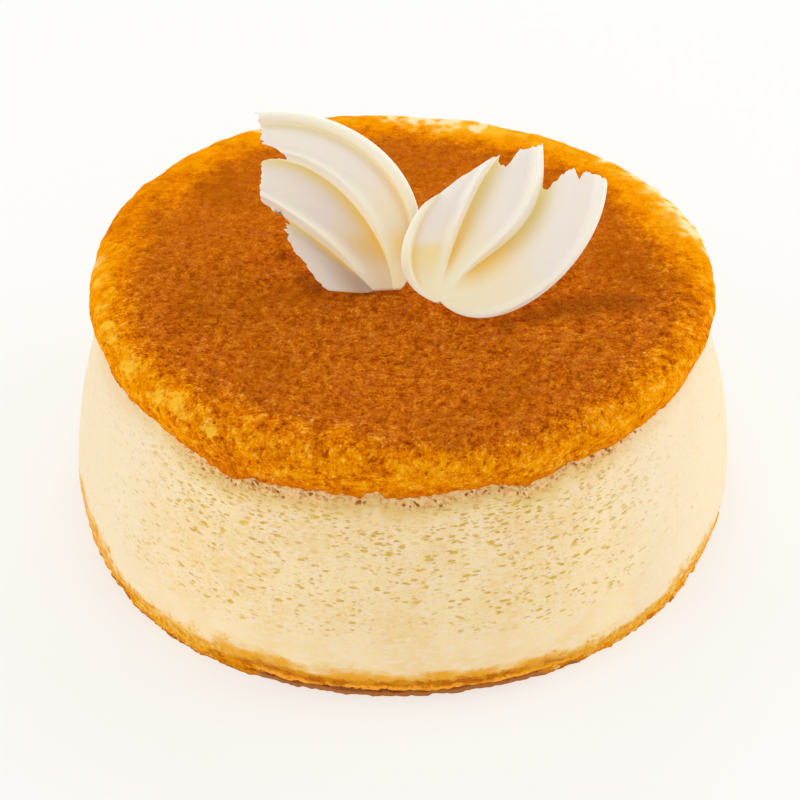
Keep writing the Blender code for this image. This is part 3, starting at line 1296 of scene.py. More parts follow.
@dataclass
class ChocolateFan:
    """A thin shell of three overlapping lobes that spread from a root and end in a broken edge.

    The four ridges are cubic curves in plane millimetres from the root, and each lobe lies between two of
    them. broken_edge gives how far the fan reaches at places across it: (lobes, share of the ridges).
    """

    part: Part
    root: tuple[float, float]
    ridges: tuple
    broken_edge: tuple
    dusk: float  # how grey the fan is in its own shade
    last_cord: bool  # whether the last ridge carries a cord
    seed: int
    lean: float = 50.0  # degrees from lying flat
    solid_thickness: float = 1.7 * MM
    thickness: float = 1.5 * MM
    edge_thickness: float = 0.7 * MM
    side_taper: float = 0.12  # lobes over which its sides thin
    end_taper: float = 0.25  # share of its reach over which it thins towards the broken edge
    lobes: int = 3
    across_steps: int = 216
    reach_steps: int = 120
    rim_steps: int = 4
    lip_place: float = 0.86
    lip_width: float = 0.105
    face_level: float = 0.45
    lip_rise: float = 2.5 * MM
    cord_crest: float = 0.07
    cord_width: float = 0.17
    cord_shade: float = 0.07
    # The last lobe's cord: where it rises, and where it falls and how much.
    rim_rise: Span = (0.79, 0.92)
    rim_fall: Span = (0.95, 1.0)
    rim_drop: float = 0.45
    # The groove beside that cord: its place, half width and depth.
    groove: tuple[float, float, float] = (0.87, 0.02, 0.1)
    # width of the painted shade beside each lip, in lobes
    crease_shade_width: float = 0.28
    cup_depth: float = 2.5 * MM
    bare_root: float = 0.1  # how far out the lips and cords begin
    full_relief: float = 0.55  # and how far out they are full
    sink: float = 0.1 * MM  # of the root into the crust
    raggedness: float = 0.009
    last_rough: float = 1.0  # how much more ragged the last lobe's broken edge is
    torn: float = 0.0  # how ragged the ridges are where the fan is split between two lobes
    notch: float = 0.04  # how far beside a ridge the depth of such a split is read, in lobes
    tear_width: Span = (0.1, 0.03)  # distances from the ridge, in lobes, where the tears begin and are full
    ripple: float = 0.03 * MM
    closeness: float = 0.75  # how much closer the columns lie beside the ridges
    shade_grey_shares: tuple[float, float, float] = (0.06, 0.42, 1.0)  # how much of that greyness each lobe has
    # How far up the root is yellow, how softly that ends, how many lobes it takes in and how deep it is.
    buttered: tuple[float, float, float, float] = (15.6 * MM, 8.0 * MM, 1.95, 1.35)

    def _along(self, ridge: tuple, share: Array) -> Array:
        """Points along a cubic ridge, in plane millimetres.

        Args:
            ridge: Start, two handles and end.
            share: How far along it each point lies.

        Returns:
            The points.
        """
        start, first, second, end = (np.array(point) for point in ridge)
        share = share[:, None]
        rest = 1.0 - share
        bent = first * 3.0 * rest * rest * share + second * 3.0 * rest * share * share
        return start * rest**3 + bent + end * share**3

    def _edge(self, across: Array) -> Array:
        """How far the fan reaches at each place across it, as a share of the ridges' length."""
        return np.interp(across, *zip(*self.broken_edge))

    def _ragged_edge(self, across: Array) -> Array:
        """How far the fan reaches at each place across it, with its ragged edge.

        Args:
            across: Lobes from the first ridge.

        Returns:
            The reach at each place.
        """
        line = np.stack((across, np.zeros_like(across), np.full_like(across, self.seed)), axis=-1)
        on_last = ease(across, self.lobes - 0.95, self.lobes - 0.85)
        rough = self.raggedness * blend(1.0, self.last_rough, on_last)
        teeth = lumps(line, 0.09, self.seed) + 0.6 * lumps(line, 0.035, self.seed + 1)
        return self._edge(across) + rough * teeth

    def _tears(self, across: Array, out: Array) -> Array:
        """How far the ridges are torn up the fan, in metres, where it is split between two lobes.

        Args:
            across: Lobes from the first ridge.
            out: How far out along the ridges each point lies.

        Returns:
            The shift of each point.
        """
        seam = np.round(across)
        joined = np.minimum(self._edge(seam - self.notch), self._edge(seam + self.notch))
        split = ease(np.abs(across - seam), *self.tear_width) * ease(out, joined, joined + 0.06)
        split = np.where((seam > 0) & (seam < self.lobes), split, 0.0)
        line = np.stack((out * 40.0 * MM, seam, np.full_like(out, self.seed)), axis=-1)
        tears = lumps(line, 1.9 * MM, self.seed + 2) + 0.6 * lumps(line, 0.9 * MM, self.seed + 3)
        return split * self.torn * tears

    def _relief(self, across: Array, out: Array) -> Array:
        """Height of the front face across the fan, from 0 in a crease to 1 on a lip or a cord.

        Args:
            across: Lobes from the first ridge.
            out: How far out along the ridges each point lies.

        Returns:
            The height of each point.
        """
        lobe = np.minimum(across.astype(int), self.lobes - 1)
        place = across - lobe
        face = self.face_level * ease(place, 0.0, 0.5)
        width = blend(2.0 * self.lip_width, self.lip_width, ease(out, 0.0, 0.75))
        lip = bell(place - self.lip_place, width)
        shape = blend(face, 1.0, lip) * ease(place, 1.0, self.lip_place)
        turn = (place - self.cord_crest) / (self.cord_width - self.cord_crest)
        cord = np.sqrt(np.clip(1.0 - turn**2, 0.0, 1.0))
        beside_cord = shape * ease(place, 0.1, 0.15 + self.cord_width)
        shape = np.where(lobe == 0, np.maximum(beside_cord, cord), shape)
        middle, half, depth = self.groove
        rim = ease(place, *self.rim_rise) - self.rim_drop * ease(place, *self.rim_fall)
        rim = rim - depth * bell(place - middle, half)
        end = face + (1.0 - self.face_level) * rim if self.last_cord else 0.8 * face
        return np.where(lobe == self.lobes - 1, end, shape)

    def _thickness(self, across: Array, share: Array) -> Array:
        """Thickness of the shell, which thins towards its sides and its broken edge.

        Args:
            across: Lobes from the first ridge.
            share: How far out to the broken edge each point lies.

        Returns:
            The thickness at each point.
        """
        side = np.minimum(across, self.lobes - across)
        full = ease(side, 0.0, self.side_taper) * ease(share, 1.0, 1.0 - self.end_taper)
        return blend(self.edge_thickness, self.thickness, full)

    def _surface(self, across: Array, share: Array, fine: bool) -> tuple[Array, Array]:
        """Points of the front face in the fan's own plane.

        Args:
            across: Lobes from the first ridge, one per point.
            share: How far out to the broken edge each point lies.
            fine: Whether the broken edge is ragged.

        Returns:
            The points, and how far out along the ridges each lies.
        """
        out = share * (self._ragged_edge(across) if fine else self._edge(across))
        lobe = np.minimum(across.astype(int), self.lobes - 1)
        flat = np.zeros((len(across), 2))
        for number in range(self.lobes):
            here = lobe == number
            low = self._along(self.ridges[number], out[here])
            high = self._along(self.ridges[number + 1], out[here])
            flat[here] = blend(low, high, (across[here] - number)[:, None])
        flat = flat * MM
        if fine:
            flat[:, 1] += self._tears(across, out)
        cup = self.cup_depth * (2.0 * across / self.lobes - 1.0) ** 2 * ease(out)
        strength = ease(out, self.bare_root, self.full_relief)
        height = self.lip_rise * self._relief(across, out) * strength + cup
        return np.column_stack((flat, height)), out

    def _stand(self, points: Array) -> Array:
        """Turns points from the fan's plane up to its lean."""
        turn = np.array(Matrix.Rotation(math.radians(self.lean), 3, "X"))
        return points @ turn.T

    def _footing(self) -> Vector:
        """Where the plane's origin stands, from the solid's own lowest point.

        Returns:
            The place of the plane's origin.
        """
        front, _ = self._surface(*pairs(np.linspace(0, self.lobes, 37), np.linspace(0, 1, 13)), False)
        back = front - np.array((0.0, 0.0, self.solid_thickness))
        lowest = self._stand(np.concatenate((front, back)))[:, 2].min()
        return Vector((*self.root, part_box(self.part.value)[0].z - lowest - self.sink))

    def build(self, material: bpy.types.Material) -> bpy.types.Object:
        """Makes the fan.

        Args:
            material: The chocolate's finish.

        Returns:
            The piece.
        """
        wide, tall = self.across_steps + 1, self.reach_steps + 1
        even = np.linspace(0.0, self.lobes, wide)
        closer = even - self.closeness * np.sin(2.0 * math.pi * even) / (2.0 * math.pi)
        across, share = pairs(closer, np.linspace(0.0, 1.0, tall))
        front, out = self._surface(across, share, True)
        grain = np.column_stack((across * 9.0, out * 2.0, np.zeros_like(out)))
        front[:, 2] += self.ripple * lumps(grain, 1.0, self.seed + 5)
        back = front.copy()
        back[:, 2] -= self._thickness(across, share)
        index = np.arange(wide * tall).reshape(tall, wide)
        ahead = grid_faces(index)
        faces = ahead.tolist() + (ahead[:, ::-1] + len(front)).tolist()
        edge = outline(index)
        rim, rim_faces = self._rim(front, back, edge, outline(index, 1))
        points = self._stand(np.concatenate((front, back, rim))) + np.array(self._footing())
        masks = {
            name: np.concatenate((values, values, np.tile(values[edge], self.rim_steps - 1)))
            for name, values in self._masks(across, front[:, 1], out).items()
        }
        sheet = [
            grid_sheet(self.reach_steps, self.across_steps, (0.0, 0.0), (0.485, 0.94)),
            grid_sheet(self.reach_steps, self.across_steps, (0.515, 0.0), (1.0, 0.94))[:, ::-1],
            grid_sheet(self.rim_steps, len(edge), (0.0, 0.955), (1.0, 1.0))[:, [1, 0, 3, 2]],
        ]
        skin = Skin(points, faces + rim_faces, masks, sheet)
        return skin.make(self.part.value + "_finish", material, Slot.CHOCOLATE, self.part)

    def _rim(self, front: Array, back: Array, edge: Array, inner: Array) -> tuple[Array, list]:
        """Rounds the shell's edge from its front to its back.

        Args:
            front: Points of the front face.
            back: Points of the back face.
            edge: Indices of the outline, in order.
            inner: Indices of the points just inside the outline.

        Returns:
            The new points and the faces that join them.
        """
        outward = front[edge] - front[inner]
        outward[:, 2] = 0.0
        outward = outward / np.maximum(np.linalg.norm(outward, axis=1, keepdims=True), 1e-9)
        middle, half = 0.5 * (front[edge] + back[edge]), 0.5 * (front[edge] - back[edge])
        bulge = 0.5 * np.linalg.norm(half, axis=1, keepdims=True)
        rings, points = [edge], []
        for step in range(1, self.rim_steps):
            turn = math.pi * step / self.rim_steps
            points.append(middle + half * math.cos(turn) + outward * bulge * math.sin(turn))
            rings.append(2 * len(front) + (step - 1) * len(edge) + np.arange(len(edge)))
        rings.append(edge + len(front))
        faces = [face for low, high in zip(rings, rings[1:]) for face in band_faces(low, high)]
        return np.concatenate(points), faces

    def _masks(self, across: Array, climb: Array, out: Array) -> dict[str, Array]:
        """What the chocolate's finish reads.

        Args:
            across: Lobes from the first ridge, one per point.
            climb: How far up the fan's plane each point lies.
            out: How far out along the ridges it lies.

        Returns:
            Painted shade in the creases, painted highlight on the lips and cords, the yellow root, painted
            shade that greys the lobes (the last one most), painted light on the low part near the root, and
            the tips.
        """
        lobe = np.minimum(across.astype(int), self.lobes - 1)
        first, last = lobe == 0, lobe == self.lobes - 1
        place = across - lobe
        spread = blend(self.crease_shade_width, 0.7 * self.crease_shade_width, ease(out, 0.4, 0.9))
        after_lip = np.where(first, 0.0, bell(place, spread))
        wall = np.where(last, 0.0, ease(place, self.lip_place + 0.08, 1.0)) * ease(out, 1.1, 0.75)
        under_cord = np.where(first, bell(place - self.cord_width, self.cord_shade), 0.0)
        # painted shade in the creases: after each lip, on the lip's inner wall and under the cord
        crease = np.maximum(np.maximum(after_lip, 0.4 * wall), 0.45 * under_cord)
        middle = ease(out, 0.0, 0.3) * ease(out, 1.15, 0.7)
        width = blend(0.2, 0.09, ease(out, 0.0, 0.7))
        lip = np.where(last, 0.0, bell(place - self.lip_place + 0.01, width))
        cord = np.where(first, ease(place, self.cord_width, 0.7 * self.cord_width), 0.0)
        rim = np.where(last & self.last_cord, ease(place, 0.84, 0.93), 0.0)
        reach, fade, lobes, depth = self.buttered
        butter = depth * ease(climb, reach, reach - fade) * ease(across, lobes - 0.15, lobes - 0.6)
        # painted shade: how grey each lobe is in the fan's own shade
        grey = self.dusk * np.take(self.shade_grey_shares, lobe)
        return {
            "crease": crease * blend(0.6, 1.0, middle) * ease(out, 0.05, 0.28),
            # painted highlight along the lips and cords
            "lip": np.maximum(np.maximum(lip, cord), rim) * ease(out, 0.0, 0.25),
            "root": butter * blend(0.3, 1.0, ease(climb, 3.0 * MM, 10.0 * MM)),
            # painted light on the low part near the root
            "low": ease(out, 0.45, 0.1),
            "dusk": grey * blend(1.0, 0.4, ease(out, 0.15, 0.95)),
            "tip": ease(out, 0.25, 0.7),
        }


def make_fans() -> tuple[ChocolateFan, ChocolateFan]:
    """The two fans with their own outlines.

    Returns:
        The left fan and the right one.
    """
    left = ChocolateFan(
        part=Part.LEFT_FAN,
        root=(-2.2 * MM, -12.5 * MM),
        ridges=(
            ((2.0, 0.0), (14.8, 18.0), (-4.0, 40.7), (-29.6, 38.2)),
            ((0.0, 0.0), (-0.5, 11.5), (-15.0, 30.5), (-28.9, 28.2)),
            ((-4.4, -0.3), (-11.5, 7.0), (-19.8, 13.2), (-29.0, 19.2)),
            ((-5.0, -0.8), (-8.0, -1.1), (-11.0, -0.9), (-14.6, -0.6)),
        ),
        broken_edge=(
            (0.0, 1.005), (0.1, 0.99), (0.65, 0.985), (0.82, 0.91), (0.97, 0.86), (1.03, 0.99),
            (1.5, 0.99), (1.97, 0.99), (2.03, 0.77), (2.25, 0.89), (2.5, 1.01), (2.6, 1.0), (2.75, 1.05),
            (3.0, 0.98),
        ),
        dusk=1.0,
        last_cord=False,
        last_rough=3.6,
        torn=0.5 * MM,
        seed=61,
        cord_crest=0.1,
        cord_width=0.24,
        cord_shade=0.12,
        crease_shade_width=0.2,
    )
    right = ChocolateFan(
        part=Part.RIGHT_FAN,
        root=(7.8 * MM, -20.0 * MM),
        ridges=(
            ((-0.5, -0.6), (-11.5, 3.8), (-8.5, 13.5), (-3.5, 20.0)),
            ((-0.2, -0.4), (2.5, 12.0), (8.0, 25.0), (13.5, 31.5)),
            ((0.2, -0.4), (9.0, 12.0), (24.0, 11.5), (22.9, 33.8)),
            ((0.5, -0.6), (13.0, -12.0), (36.5, 8.5), (36.0, 26.0)),
        ),
        broken_edge=(
            (0.0, 0.99), (0.3, 1.05), (0.4, 1.09), (0.55, 1.05), (0.8, 1.045), (0.88, 1.005),
            (0.95, 0.985), (1.0, 0.99), (1.06, 0.93), (1.15, 0.9), (1.25, 0.89), (1.45, 1.0), (1.6, 0.99),
            (1.8, 0.985), (1.97, 1.01), (2.02, 0.83), (2.1, 0.83), (2.3, 0.925), (2.48, 0.975),
            (2.58, 0.93), (2.64, 0.97), (3.0, 0.99),
        ),
        buttered=(13.8 * MM, 3.4 * MM, 1.4, 0.75),
        dusk=0.0,
        last_cord=True,
        seed=67,
    )
    return left, right


# ----------------------------------------------------------------------------------------------------------
# Finishes
# ----------------------------------------------------------------------------------------------------------


@dataclass(frozen=True)
class CrustFinish:
    """Browned, crumbed skin: deep orange-brown on top and golden round the shoulder, with painted sheen in
    mauve patches, painted glints on bright crumbs and painted shadow beside the fans.
    """

    pit: Tint = Tint(140, 44, 0)
    # painted sheen: pinkish patches that stand in for the crust's highlights
    sheen_mauve: Tint = Tint(188, 92, 34)
    olive: Tint = Tint(160, 80, 0)
    amber: Tint = Tint(212, 104, 0)
    # painted shadow of the fans and of the raised crumb on the crust
    shadow_umber: Tint = Tint(132, 62, 12)
    sunny: Tint = Tint(255, 190, 44)
    yellow: Tint = Tint(255, 197, 56)
    pale: Tint = Tint(255, 234, 180)
    # bright crumbs with painted glints on them
    crumb: Tint = Tint(255, 204, 110)
    # Tints of the top, of the ring's edge and of the ring, from the darkest grain to the lightest.
    top: Stops = (
        (0.0, Tint(144, 54, 8)), (0.35, Tint(186, 90, 10)),
        (0.65, Tint(208, 112, 14)), (1.0, Tint(238, 150, 40)),
    )
    orange: Stops = (
        (0.0, Tint(172, 68, 0)), (0.3, Tint(216, 112, 0)),
        (0.65, Tint(234, 136, 2)), (1.0, Tint(252, 180, 44)),
    )
    gold: Stops = (
        (0.0, Tint(220, 112, 0)), (0.3, Tint(240, 144, 0)),
        (0.65, Tint(250, 160, 4)), (1.0, Tint(255, 196, 60)),
    )

    def build(self) -> bpy.types.Material:
        """Makes the finish.

        Returns:
            The crust's material.
        """
        graph = Graph("browned_crust")
        place = graph.place()
        glow, calm = graph.mask("glow"), graph.mask("calm")
        fine = graph.grain(place, 0.6 * MM, 3.0, 0.7)
        flecks = graph.grain(place, 1.3 * MM, 3.0, 0.7)
        patch = graph.grain(place, 5.0 * MM, 3.0, 0.6)
        broad = graph.grain(place, 22.0 * MM, 1.0)
        shade = fine * 0.5 + flecks * 0.2 + graph.mask("crumb") * 0.2 + patch * 0.1
        spread = ((shade - 0.5) * (1.0 - calm * 0.45) + 0.5).above(0.3, 0.7)
        # painted shadow beside the fans and under the raised crumb, in darker brown
        smudge = (graph.mask("smudge") + (flecks - 0.5) * 0.8).above(0.15, 1.0)
        torn = (patch - 0.5) + (shade - 0.5) * 0.7
        skirt = graph.mask("skirt") * (patch.above(0.3, 0.65) * 0.5 + 0.5)
        pale = graph.mask("pale") + (fine + flecks - 1.0) * (0.9 - calm * 0.65)
        bare = pale.above(0.1, 0.9) * (flecks * 0.9 + 0.32 + calm * 0.1)
        cream = pale.above(0.2, 1.0) * calm.above(0.6, 0.85)
        holes = flecks.above(0.4, 0.33) * (1.0 - calm) * (1.0 - glow.above(0.5, 1.0) * 0.7)
        holes = holes * pale.above(0.7, 0.1)
        # bright crumbs with painted glints, mostly towards the golden ring and the front
        crumbs = flecks.above(0.6, 0.68) * patch.above(0.4, 0.56) * (1.0 - calm)
        colour = graph.coated(
            graph.ramp(spread, self.top),
            # painted sheen in pinkish patches
            (patch.above(0.48, 0.66) * 0.4, self.sheen_mauve),
            (broad.above(0.5, 0.72) * 0.35, self.olive),
            # painted shadow
            (smudge * 0.52, self.shadow_umber),
            ((glow + torn).above(0.1, 0.55), graph.ramp(spread, self.orange)),
            ((glow + torn).above(0.44, 0.85), graph.ramp(spread, self.gold)),
            ((glow + torn * 0.8).above(0.88, 1.35), self.sunny),
            (skirt * 0.8, self.amber),
            (bare, graph.mix(cream, self.yellow, self.pale)),
            (holes * 0.6, self.pit),
            # bright crumbs with painted glints
            (crumbs * (glow.above(0.0, 0.15) * 0.45 + 0.1), self.crumb),
        )
        height = (fine + crumbs * 0.3 - holes * 0.7) * (1.0 - calm * 0.5)
        return graph.finish({
            "Base Color": colour,
            "Roughness": 0.55 + fine * 0.2,
            "Specular IOR Level": 0.0,
            "Normal": graph.bump(height, 0.3 * MM, 0.7),
        })


@dataclass(frozen=True)
class FootPaint:
    """Toasting at the foot of the cake: loose flakes where it has split, a plain golden edge elsewhere."""

    under: Tint = Tint(176, 110, 56)
    # painted shadow: the dark line under the lifted flakes
    flake_shadow: Tint = Tint(128, 52, 0)
    flake: Tint = Tint(255, 172, 52)
    brown: Tint = Tint(190, 104, 0)
    ochre: Tint = Tint(222, 146, 6)
    amber: Tint = Tint(232, 164, 44)
    golden: Tint = Tint(238, 166, 20)
    honey: Tint = Tint(244, 198, 102)
    rust: Tint = Tint(156, 92, 34)
    orange: Tint = Tint(226, 138, 8)

    def over(self, graph: Graph, place: Channel, cream: Channel) -> Channel:
        """Toasted colour over a cream one.

        Args:
            graph: The graph to add to.
            place: Coordinates.
            cream: The colour of the untoasted cake.

        Returns:
            The colour, toasted near the floor.
        """
        crumb = graph.grain(place, 1.3 * MM, 3.0, 0.65)
        streak = graph.grain(graph.stretched(place, (1.0, 1.0, 2.0)), 5.0 * MM, 2.0)
        rise = graph.mask("rise") + (crumb - 0.5) * 0.28
        loose = (graph.mask("loose") + (crumb + streak - 1.0) * 0.7).above(0.3, 0.6)
        breaks = streak.above(0.5, 0.6) * rise.above(0.2, 0.23) * rise.above(0.34, 0.3)
        baked = streak.above(0.56, 0.42) * rise.above(0.29, 0.33) * rise.above(0.52, 0.46)
        flaky = graph.coated(
            graph.ramp(rise, (
                # with painted shadow under the lifted flakes
                (0.0, self.under), (0.13, self.under), (0.165, self.flake_shadow), (0.2, self.flake_shadow),
                (0.23, self.flake), (0.29, self.flake), (0.33, self.brown), (0.41, self.brown),
                (0.49, self.amber), (0.62, self.honey),
            )),
            (breaks * 0.8, self.brown),
            (baked * 0.85, self.ochre),
        )
        plain = graph.coated(
            graph.ramp(rise + (streak - 0.5) * 0.3, (
                (0.0, self.rust), (0.08, self.orange), (0.22, self.golden), (0.36, self.amber),
                (0.55, self.honey),
            )),
            (crumb.above(0.51, 0.6) * 0.8, self.honey),
            (crumb.above(0.46, 0.36) * 0.8, self.orange),
        )
        scorched = graph.mix(streak.above(0.4, 0.6), self.orange, self.brown)
        scorched = graph.mix(crumb.above(0.46, 0.6) * 0.6, scorched, self.golden)
        scorch = (graph.mask("scorch") + (crumb - 0.5) * 0.8).above(0.3, 0.7) * rise.above(0.0, 0.06)
        start = rise - 0.52 - graph.mask("loose") * 0.12 - (streak - 0.5) * 0.6
        stain = graph.mask("stain") + (crumb - 0.5) * 1.1 + (streak - 0.5) * 0.7
        return graph.coated(
            cream,
            (start.above(0.16, -0.12), graph.coated(plain, (loose, flaky), (scorch, scorched))),
            (stain.above(0.2, 0.95) * (0.5 + crumb * 0.7), self.golden),
        )


@dataclass(frozen=True)
class CustardFinish:
    """Pale baked custard: cream skin, mustard pores, and an olive band of painted shade and lacy foam under
    the crust.
    """

    cream: Tint = Tint(250, 227, 178)
    warm: Tint = Tint(246, 216, 158)
    shell: Tint = Tint(250, 226, 196)
    # painted sheen: a paler cream on the cake's left and right sides
    side_sheen: Tint = Tint(243, 225, 192)
    # painted shade of the overhanging crust, an olive band under its edge
    olive: Tint = Tint(224, 190, 100)
    mustard: Tint = Tint(228, 182, 40)
    straw: Tint = Tint(236, 200, 112)
    foam: Tint = Tint(246, 205, 140)
    tan: Tint = Tint(206, 150, 78)
    brown: Tint = Tint(168, 104, 34)

    @staticmethod
    def _pores(graph: Graph, place: Channel, size: float, flat: float, radius: float) -> Channel:
        """Lens-shaped pores, 1 in their middle and 0 outside."""
        apart, chance = graph.scatter(graph.stretched(place, (1.0, 1.0, flat)), size)
        return (chance * radius * 0.75 + radius * 0.25 - apart).above(-0.03, 0.12)

    def build(self) -> bpy.types.Material:
        """Makes the finish.

        Returns:
            The custard's material.
        """
        graph = Graph("custard")
        place = graph.place()
        flat = graph.stretched(place, (1.0, 1.0, 2.2))
        streak = graph.grain(flat, 2.4 * MM, 3.0, 0.65)
        fine = graph.grain(flat, 0.9 * MM, 2.0)
        lace = graph.grain(place, 0.7 * MM, 2.0)
        broad = graph.grain(place, 12.0 * MM, 2.0)
        shaken = graph.warped(place, 0.9 * MM, 0.45 * MM)
        crowd, level, foam = graph.mask("crowd"), graph.mask("level"), graph.mask("foam")
        # painted shade: an olive band just under the crust's edge, where the crust overhangs
        olive = (1.0 - graph.mask("below").above(0.0, 0.8)) * (0.3 + streak * 1.4)
        middle = level.above(0.2, 0.36) * level.above(0.84, 0.72)
        upper = level.above(0.56, 0.68) * level.above(0.83, 0.79)
        lenses = self._pores(graph, shaken, 2.6 * MM, 3.2, 0.4) * middle
        specks = self._pores(graph, shaken, 1.7 * MM, 3.0, 0.32) * level.above(0.2, 0.34)
        thin = self._pores(graph, shaken, 2.2 * MM, 5.0, 0.38) * upper
        gathered = graph.grain(place, 9.0 * MM, 1.0).above(0.34, 0.5) * 0.6 + 0.4
        small = (lenses + thin + specks * 0.5) * crowd * gathered
        pore = graph.mask("pore") + (fine - 0.5) * 0.5
        froth = self._pores(graph, shaken, 1.1 * MM, 1.6, 0.55)
        bubbles = graph.coated(
            graph.mix(froth, self.foam, self.tan),
            (lace.above(0.5, 0.64) * 0.5, self.tan),
            (lace.above(0.46, 0.36) * 0.75, self.cream),
        )
        colour = graph.coated(
            graph.mix(broad.above(0.35, 0.68), self.cream, self.warm),
            (streak.above(0.46, 0.64) * 0.85, self.shell),
            # painted sheen: paler where the pores are sparse, mostly on the left and right sides
            ((1.0 - crowd).above(0.0, 0.75) * 0.85, self.side_sheen),
            # painted shade under the crust, weaker where the pores are sparse
            (olive.above(0.1, 1.0) * crowd * 0.75, self.olive),
            (fine.above(0.5, 0.72) * middle * crowd * 0.6, self.straw),
            (small.above(0.0, 1.0) * 0.9, self.mustard),
            (pore.above(-0.1, 0.5) * (crowd * 0.4 + 0.35), self.mustard),
            ((foam + (streak + lace - 1.0) * 0.9).above(0.15, 0.8) * 0.85, bubbles),
            (graph.mask("foam_pit").above(-0.1, 0.4) * foam.above(0.1, 0.4), self.brown),
        )
        colour = FootPaint().over(graph, place, colour)
        height = streak * 0.5 + fine * 0.35 - small * 0.9 - foam * froth * 0.6
        return graph.finish({
            "Base Color": colour,
            "Roughness": 0.5 + fine * 0.2,
            "Specular IOR Level": 0.08,
            "Subsurface Weight": 0.12,
            "Subsurface Radius": (1.4 * MM, 1.0 * MM, 0.5 * MM),
            "Subsurface Scale": 1.0,
            "Normal": graph.bump(height, 0.25 * MM, 0.8),
        })


@dataclass(frozen=True)
class SpongeFinish:
    """Toasted sponge: golden crumb, bright lifted flakes and a dark underside."""

    cream: Tint = Tint(244, 212, 150)

    def build(self) -> bpy.types.Material:
        """Makes the finish.

        Returns:
            The sponge's material.
        """
        graph = Graph("sponge_base")
        place = graph.place()
        fine = graph.grain(place, 0.7 * MM, 3.0, 0.6)
        foot = FootPaint()
        crumb = graph.mix(fine.above(0.4, 0.7), self.cream, foot.honey)
        bright = (graph.mask("flake") + (fine - 0.5) * 0.6).above(0.45, 0.9)
        colour = graph.mix(bright * 0.5, foot.over(graph, place, crumb), foot.flake)
        return graph.finish({
            "Base Color": colour,
            "Roughness": 0.6 + fine * 0.2,
            "Specular IOR Level": 0.03,
            "Subsurface Weight": 0.08,
            "Subsurface Radius": (1.0 * MM, 0.6 * MM, 0.3 * MM),
            "Subsurface Scale": 1.0,
            "Normal": graph.bump(fine, 0.3 * MM, 0.8),
        })


@dataclass(frozen=True)
class ChocolateFinish:
    """White chocolate: beige-grey faces and yellow roots, painted highlight on lips and cords, painted
    shade in creases and on the lobes, and painted light low down.
    """

    # painted highlight: an ivory that lightens the lips and cords
    ridge_highlight: Tint = Tint(255, 249, 228)
    tip: Tint = Tint(246, 238, 228)
    face: Tint = Tint(252, 239, 212)
    # painted light: a lighter cream that brightens the low part of the fan near the root, where less light
    # falls
    low: Tint = Tint(255, 244, 210)
    # painted shade: the grey of the fan's lobes in their own shade
    dusk: Tint = Tint(188, 160, 134)
    # painted shade in the creases, mustard low down and straw towards the tips
    mustard: Tint = Tint(242, 200, 92)
    straw: Tint = Tint(230, 210, 134)
    butter: Tint = Tint(255, 222, 116)

    def build(self) -> bpy.types.Material:
        """Makes the finish.

        Returns:
            The chocolate's material.
        """
        graph = Graph("white_chocolate")
        place = graph.place()
        cloud = graph.grain(place, 6.0 * MM, 2.0)
        fine = graph.grain(place, 0.5 * MM, 2.0)
        tip = graph.mask("tip")
        colour = graph.coated(
            # painted light near the root
            graph.mix(graph.mask("low"), self.face, self.low),
            ((tip + (cloud - 0.5) * 0.4).above(0.1, 0.9), self.tip),
            ((graph.mask("root") + (cloud - 0.5) * 0.3).above(0.0, 1.3) * 0.8, self.butter),
            # painted shade greying the lobes
            (graph.mask("dusk") * 0.95, self.dusk),
            # painted shade in the creases
            (graph.mask("crease"), graph.mix(tip, self.mustard, self.straw)),
            # painted highlight on the lips and cords
            (graph.mask("lip") * 0.7, self.ridge_highlight),
        )
        return graph.finish({
            "Base Color": colour,
            "Roughness": 0.42 + cloud * 0.12,
            "Specular IOR Level": 0.35,
            "Subsurface Weight": 0.5,
            "Subsurface Radius": (2.2 * MM, 1.8 * MM, 1.1 * MM),
            "Subsurface Scale": 1.0,
            "Normal": graph.bump(fine, 0.02 * MM, 0.5),
        })


# ----------------------------------------------------------------------------------------------------------
# The studio
# ----------------------------------------------------------------------------------------------------------


@dataclass(frozen=True)
class Lamp:
    """A soft square lamp that looks at the cake."""

    name: str
    place: tuple[float, float, float]
    size: float
    power: float


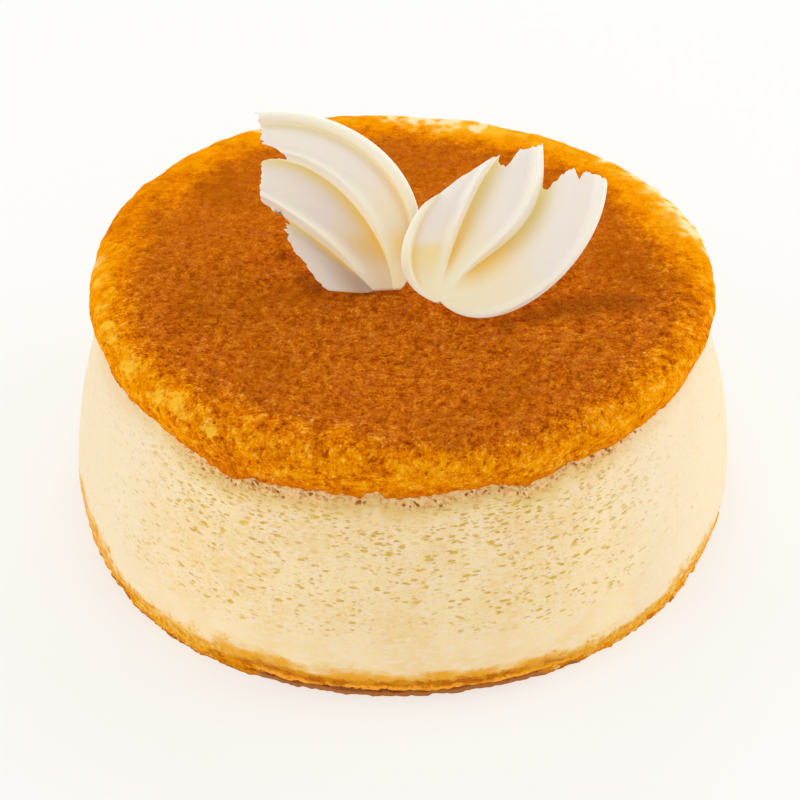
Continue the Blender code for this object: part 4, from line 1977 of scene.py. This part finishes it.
@dataclass
class Studio:
    """A pale floor, soft light from all round and the camera."""

    aim: Vector = field(default_factory=lambda: Vector((-0.676, 0.302, 21.6)) * MM)
    distance: float = 525.0 * MM
    elevation: float = 37.5
    roll: float = -0.22
    lens: float = 100.67
    floor_size: float = 6.0
    floor_glow: float = 0.738
    sky: float = 0.68
    lamps: tuple[Lamp, ...] = (
        Lamp("lamp_left", (-1.0, -0.1, 0.5), 0.8, 3.2),
        Lamp("lamp_right", (1.0, 0.2, 0.5), 0.8, 4.6),
        Lamp("lamp_back", (0.0, 1.1, 0.7), 0.8, 4.0),
        Lamp("lamp_front", (0.0, -1.2, 0.5), 0.9, 1.6),
    )

    def build(self) -> None:
        """Makes the floor, the light and the camera."""
        self._floor()
        self._light()
        self._camera()
        bpy.context.scene.view_settings.view_transform = "Standard"

    def _floor(self) -> None:
        """A white sheet that glows a little, so that shadows on it stay faint."""
        graph = Graph("floor_paper")
        sheet = graph.finish({
            "Base Color": Tint(132, 148, 154),
            "Roughness": 0.9,
            "Specular IOR Level": 0.0,
            "Emission Color": Tint(255, 243, 234),
            "Emission Strength": self.floor_glow,
        })
        half = 0.5 * self.floor_size
        mesh = bpy.data.meshes.new("floor")
        square = [(-half, -half, 0), (half, -half, 0), (half, half, 0), (-half, half, 0)]
        mesh.from_pydata(square, [], [(0, 1, 2, 3)])
        mesh.materials.append(sheet)
        floor = bpy.data.objects.new("floor", mesh)
        bpy.context.scene.collection.objects.link(floor)

    def _light(self) -> None:
        """An even white sky and soft lamps."""
        world = bpy.data.worlds.new("sky")
        bpy.context.scene.world = world
        world.use_nodes = True
        sky = world.node_tree.nodes["Background"]
        sky.inputs["Color"].default_value = Tint(255, 255, 255).linear()
        sky.inputs["Strength"].default_value = self.sky
        for lamp in self.lamps:
            light = bpy.data.lights.new(lamp.name, "AREA")
            light.shape = "SQUARE"
            light.size = lamp.size
            light.energy = lamp.power
            stand = bpy.data.objects.new(lamp.name, light)
            bpy.context.scene.collection.objects.link(stand)
            stand.matrix_world = self._looking(Vector(lamp.place), self.aim)

    @staticmethod
    def _looking(place: Vector, aim: Vector) -> Matrix:
        """A pose at a place that looks at an aim."""
        turn = (aim - place).to_track_quat("-Z", "Y").to_matrix().to_4x4()
        return Matrix.Translation(place) @ turn

    def _camera(self) -> None:
        """The camera, in front of the cake and above it."""
        tilt = math.radians(self.elevation)
        place = self.aim + Vector((0.0, -math.cos(tilt), math.sin(tilt))) * self.distance
        data = bpy.data.cameras.new("camera")
        data.lens = self.lens
        data.clip_start = 0.01
        camera = bpy.data.objects.new("camera", data)
        bpy.context.scene.collection.objects.link(camera)
        roll = Matrix.Rotation(math.radians(self.roll), 4, "Z")
        camera.matrix_world = self._looking(place, self.aim) @ roll
        bpy.context.scene.camera = camera


def corners(box: Any) -> list[list[float]]:
    """A box's two corners as plain lists of numbers."""
    return [[float(value) for value in corner] for corner in box]


def main() -> None:
    """Builds the cake, its fans and the studio."""
    logging.basicConfig(level=logging.INFO, format="%(name)s: %(message)s")
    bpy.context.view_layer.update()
    shape = CakeShape()
    line = CrustLine()
    toasting = Toasting()
    Crust(shape, line).build(CrustFinish().build())
    Custard(shape, line, toasting).build(CustardFinish().build())
    SpongeBase(shape, toasting).build(SpongeFinish().build())
    chocolate = ChocolateFinish().build()
    for fan in make_fans():
        fan.build(chocolate)
    Studio().build()


if __name__ == "__main__":
    main()
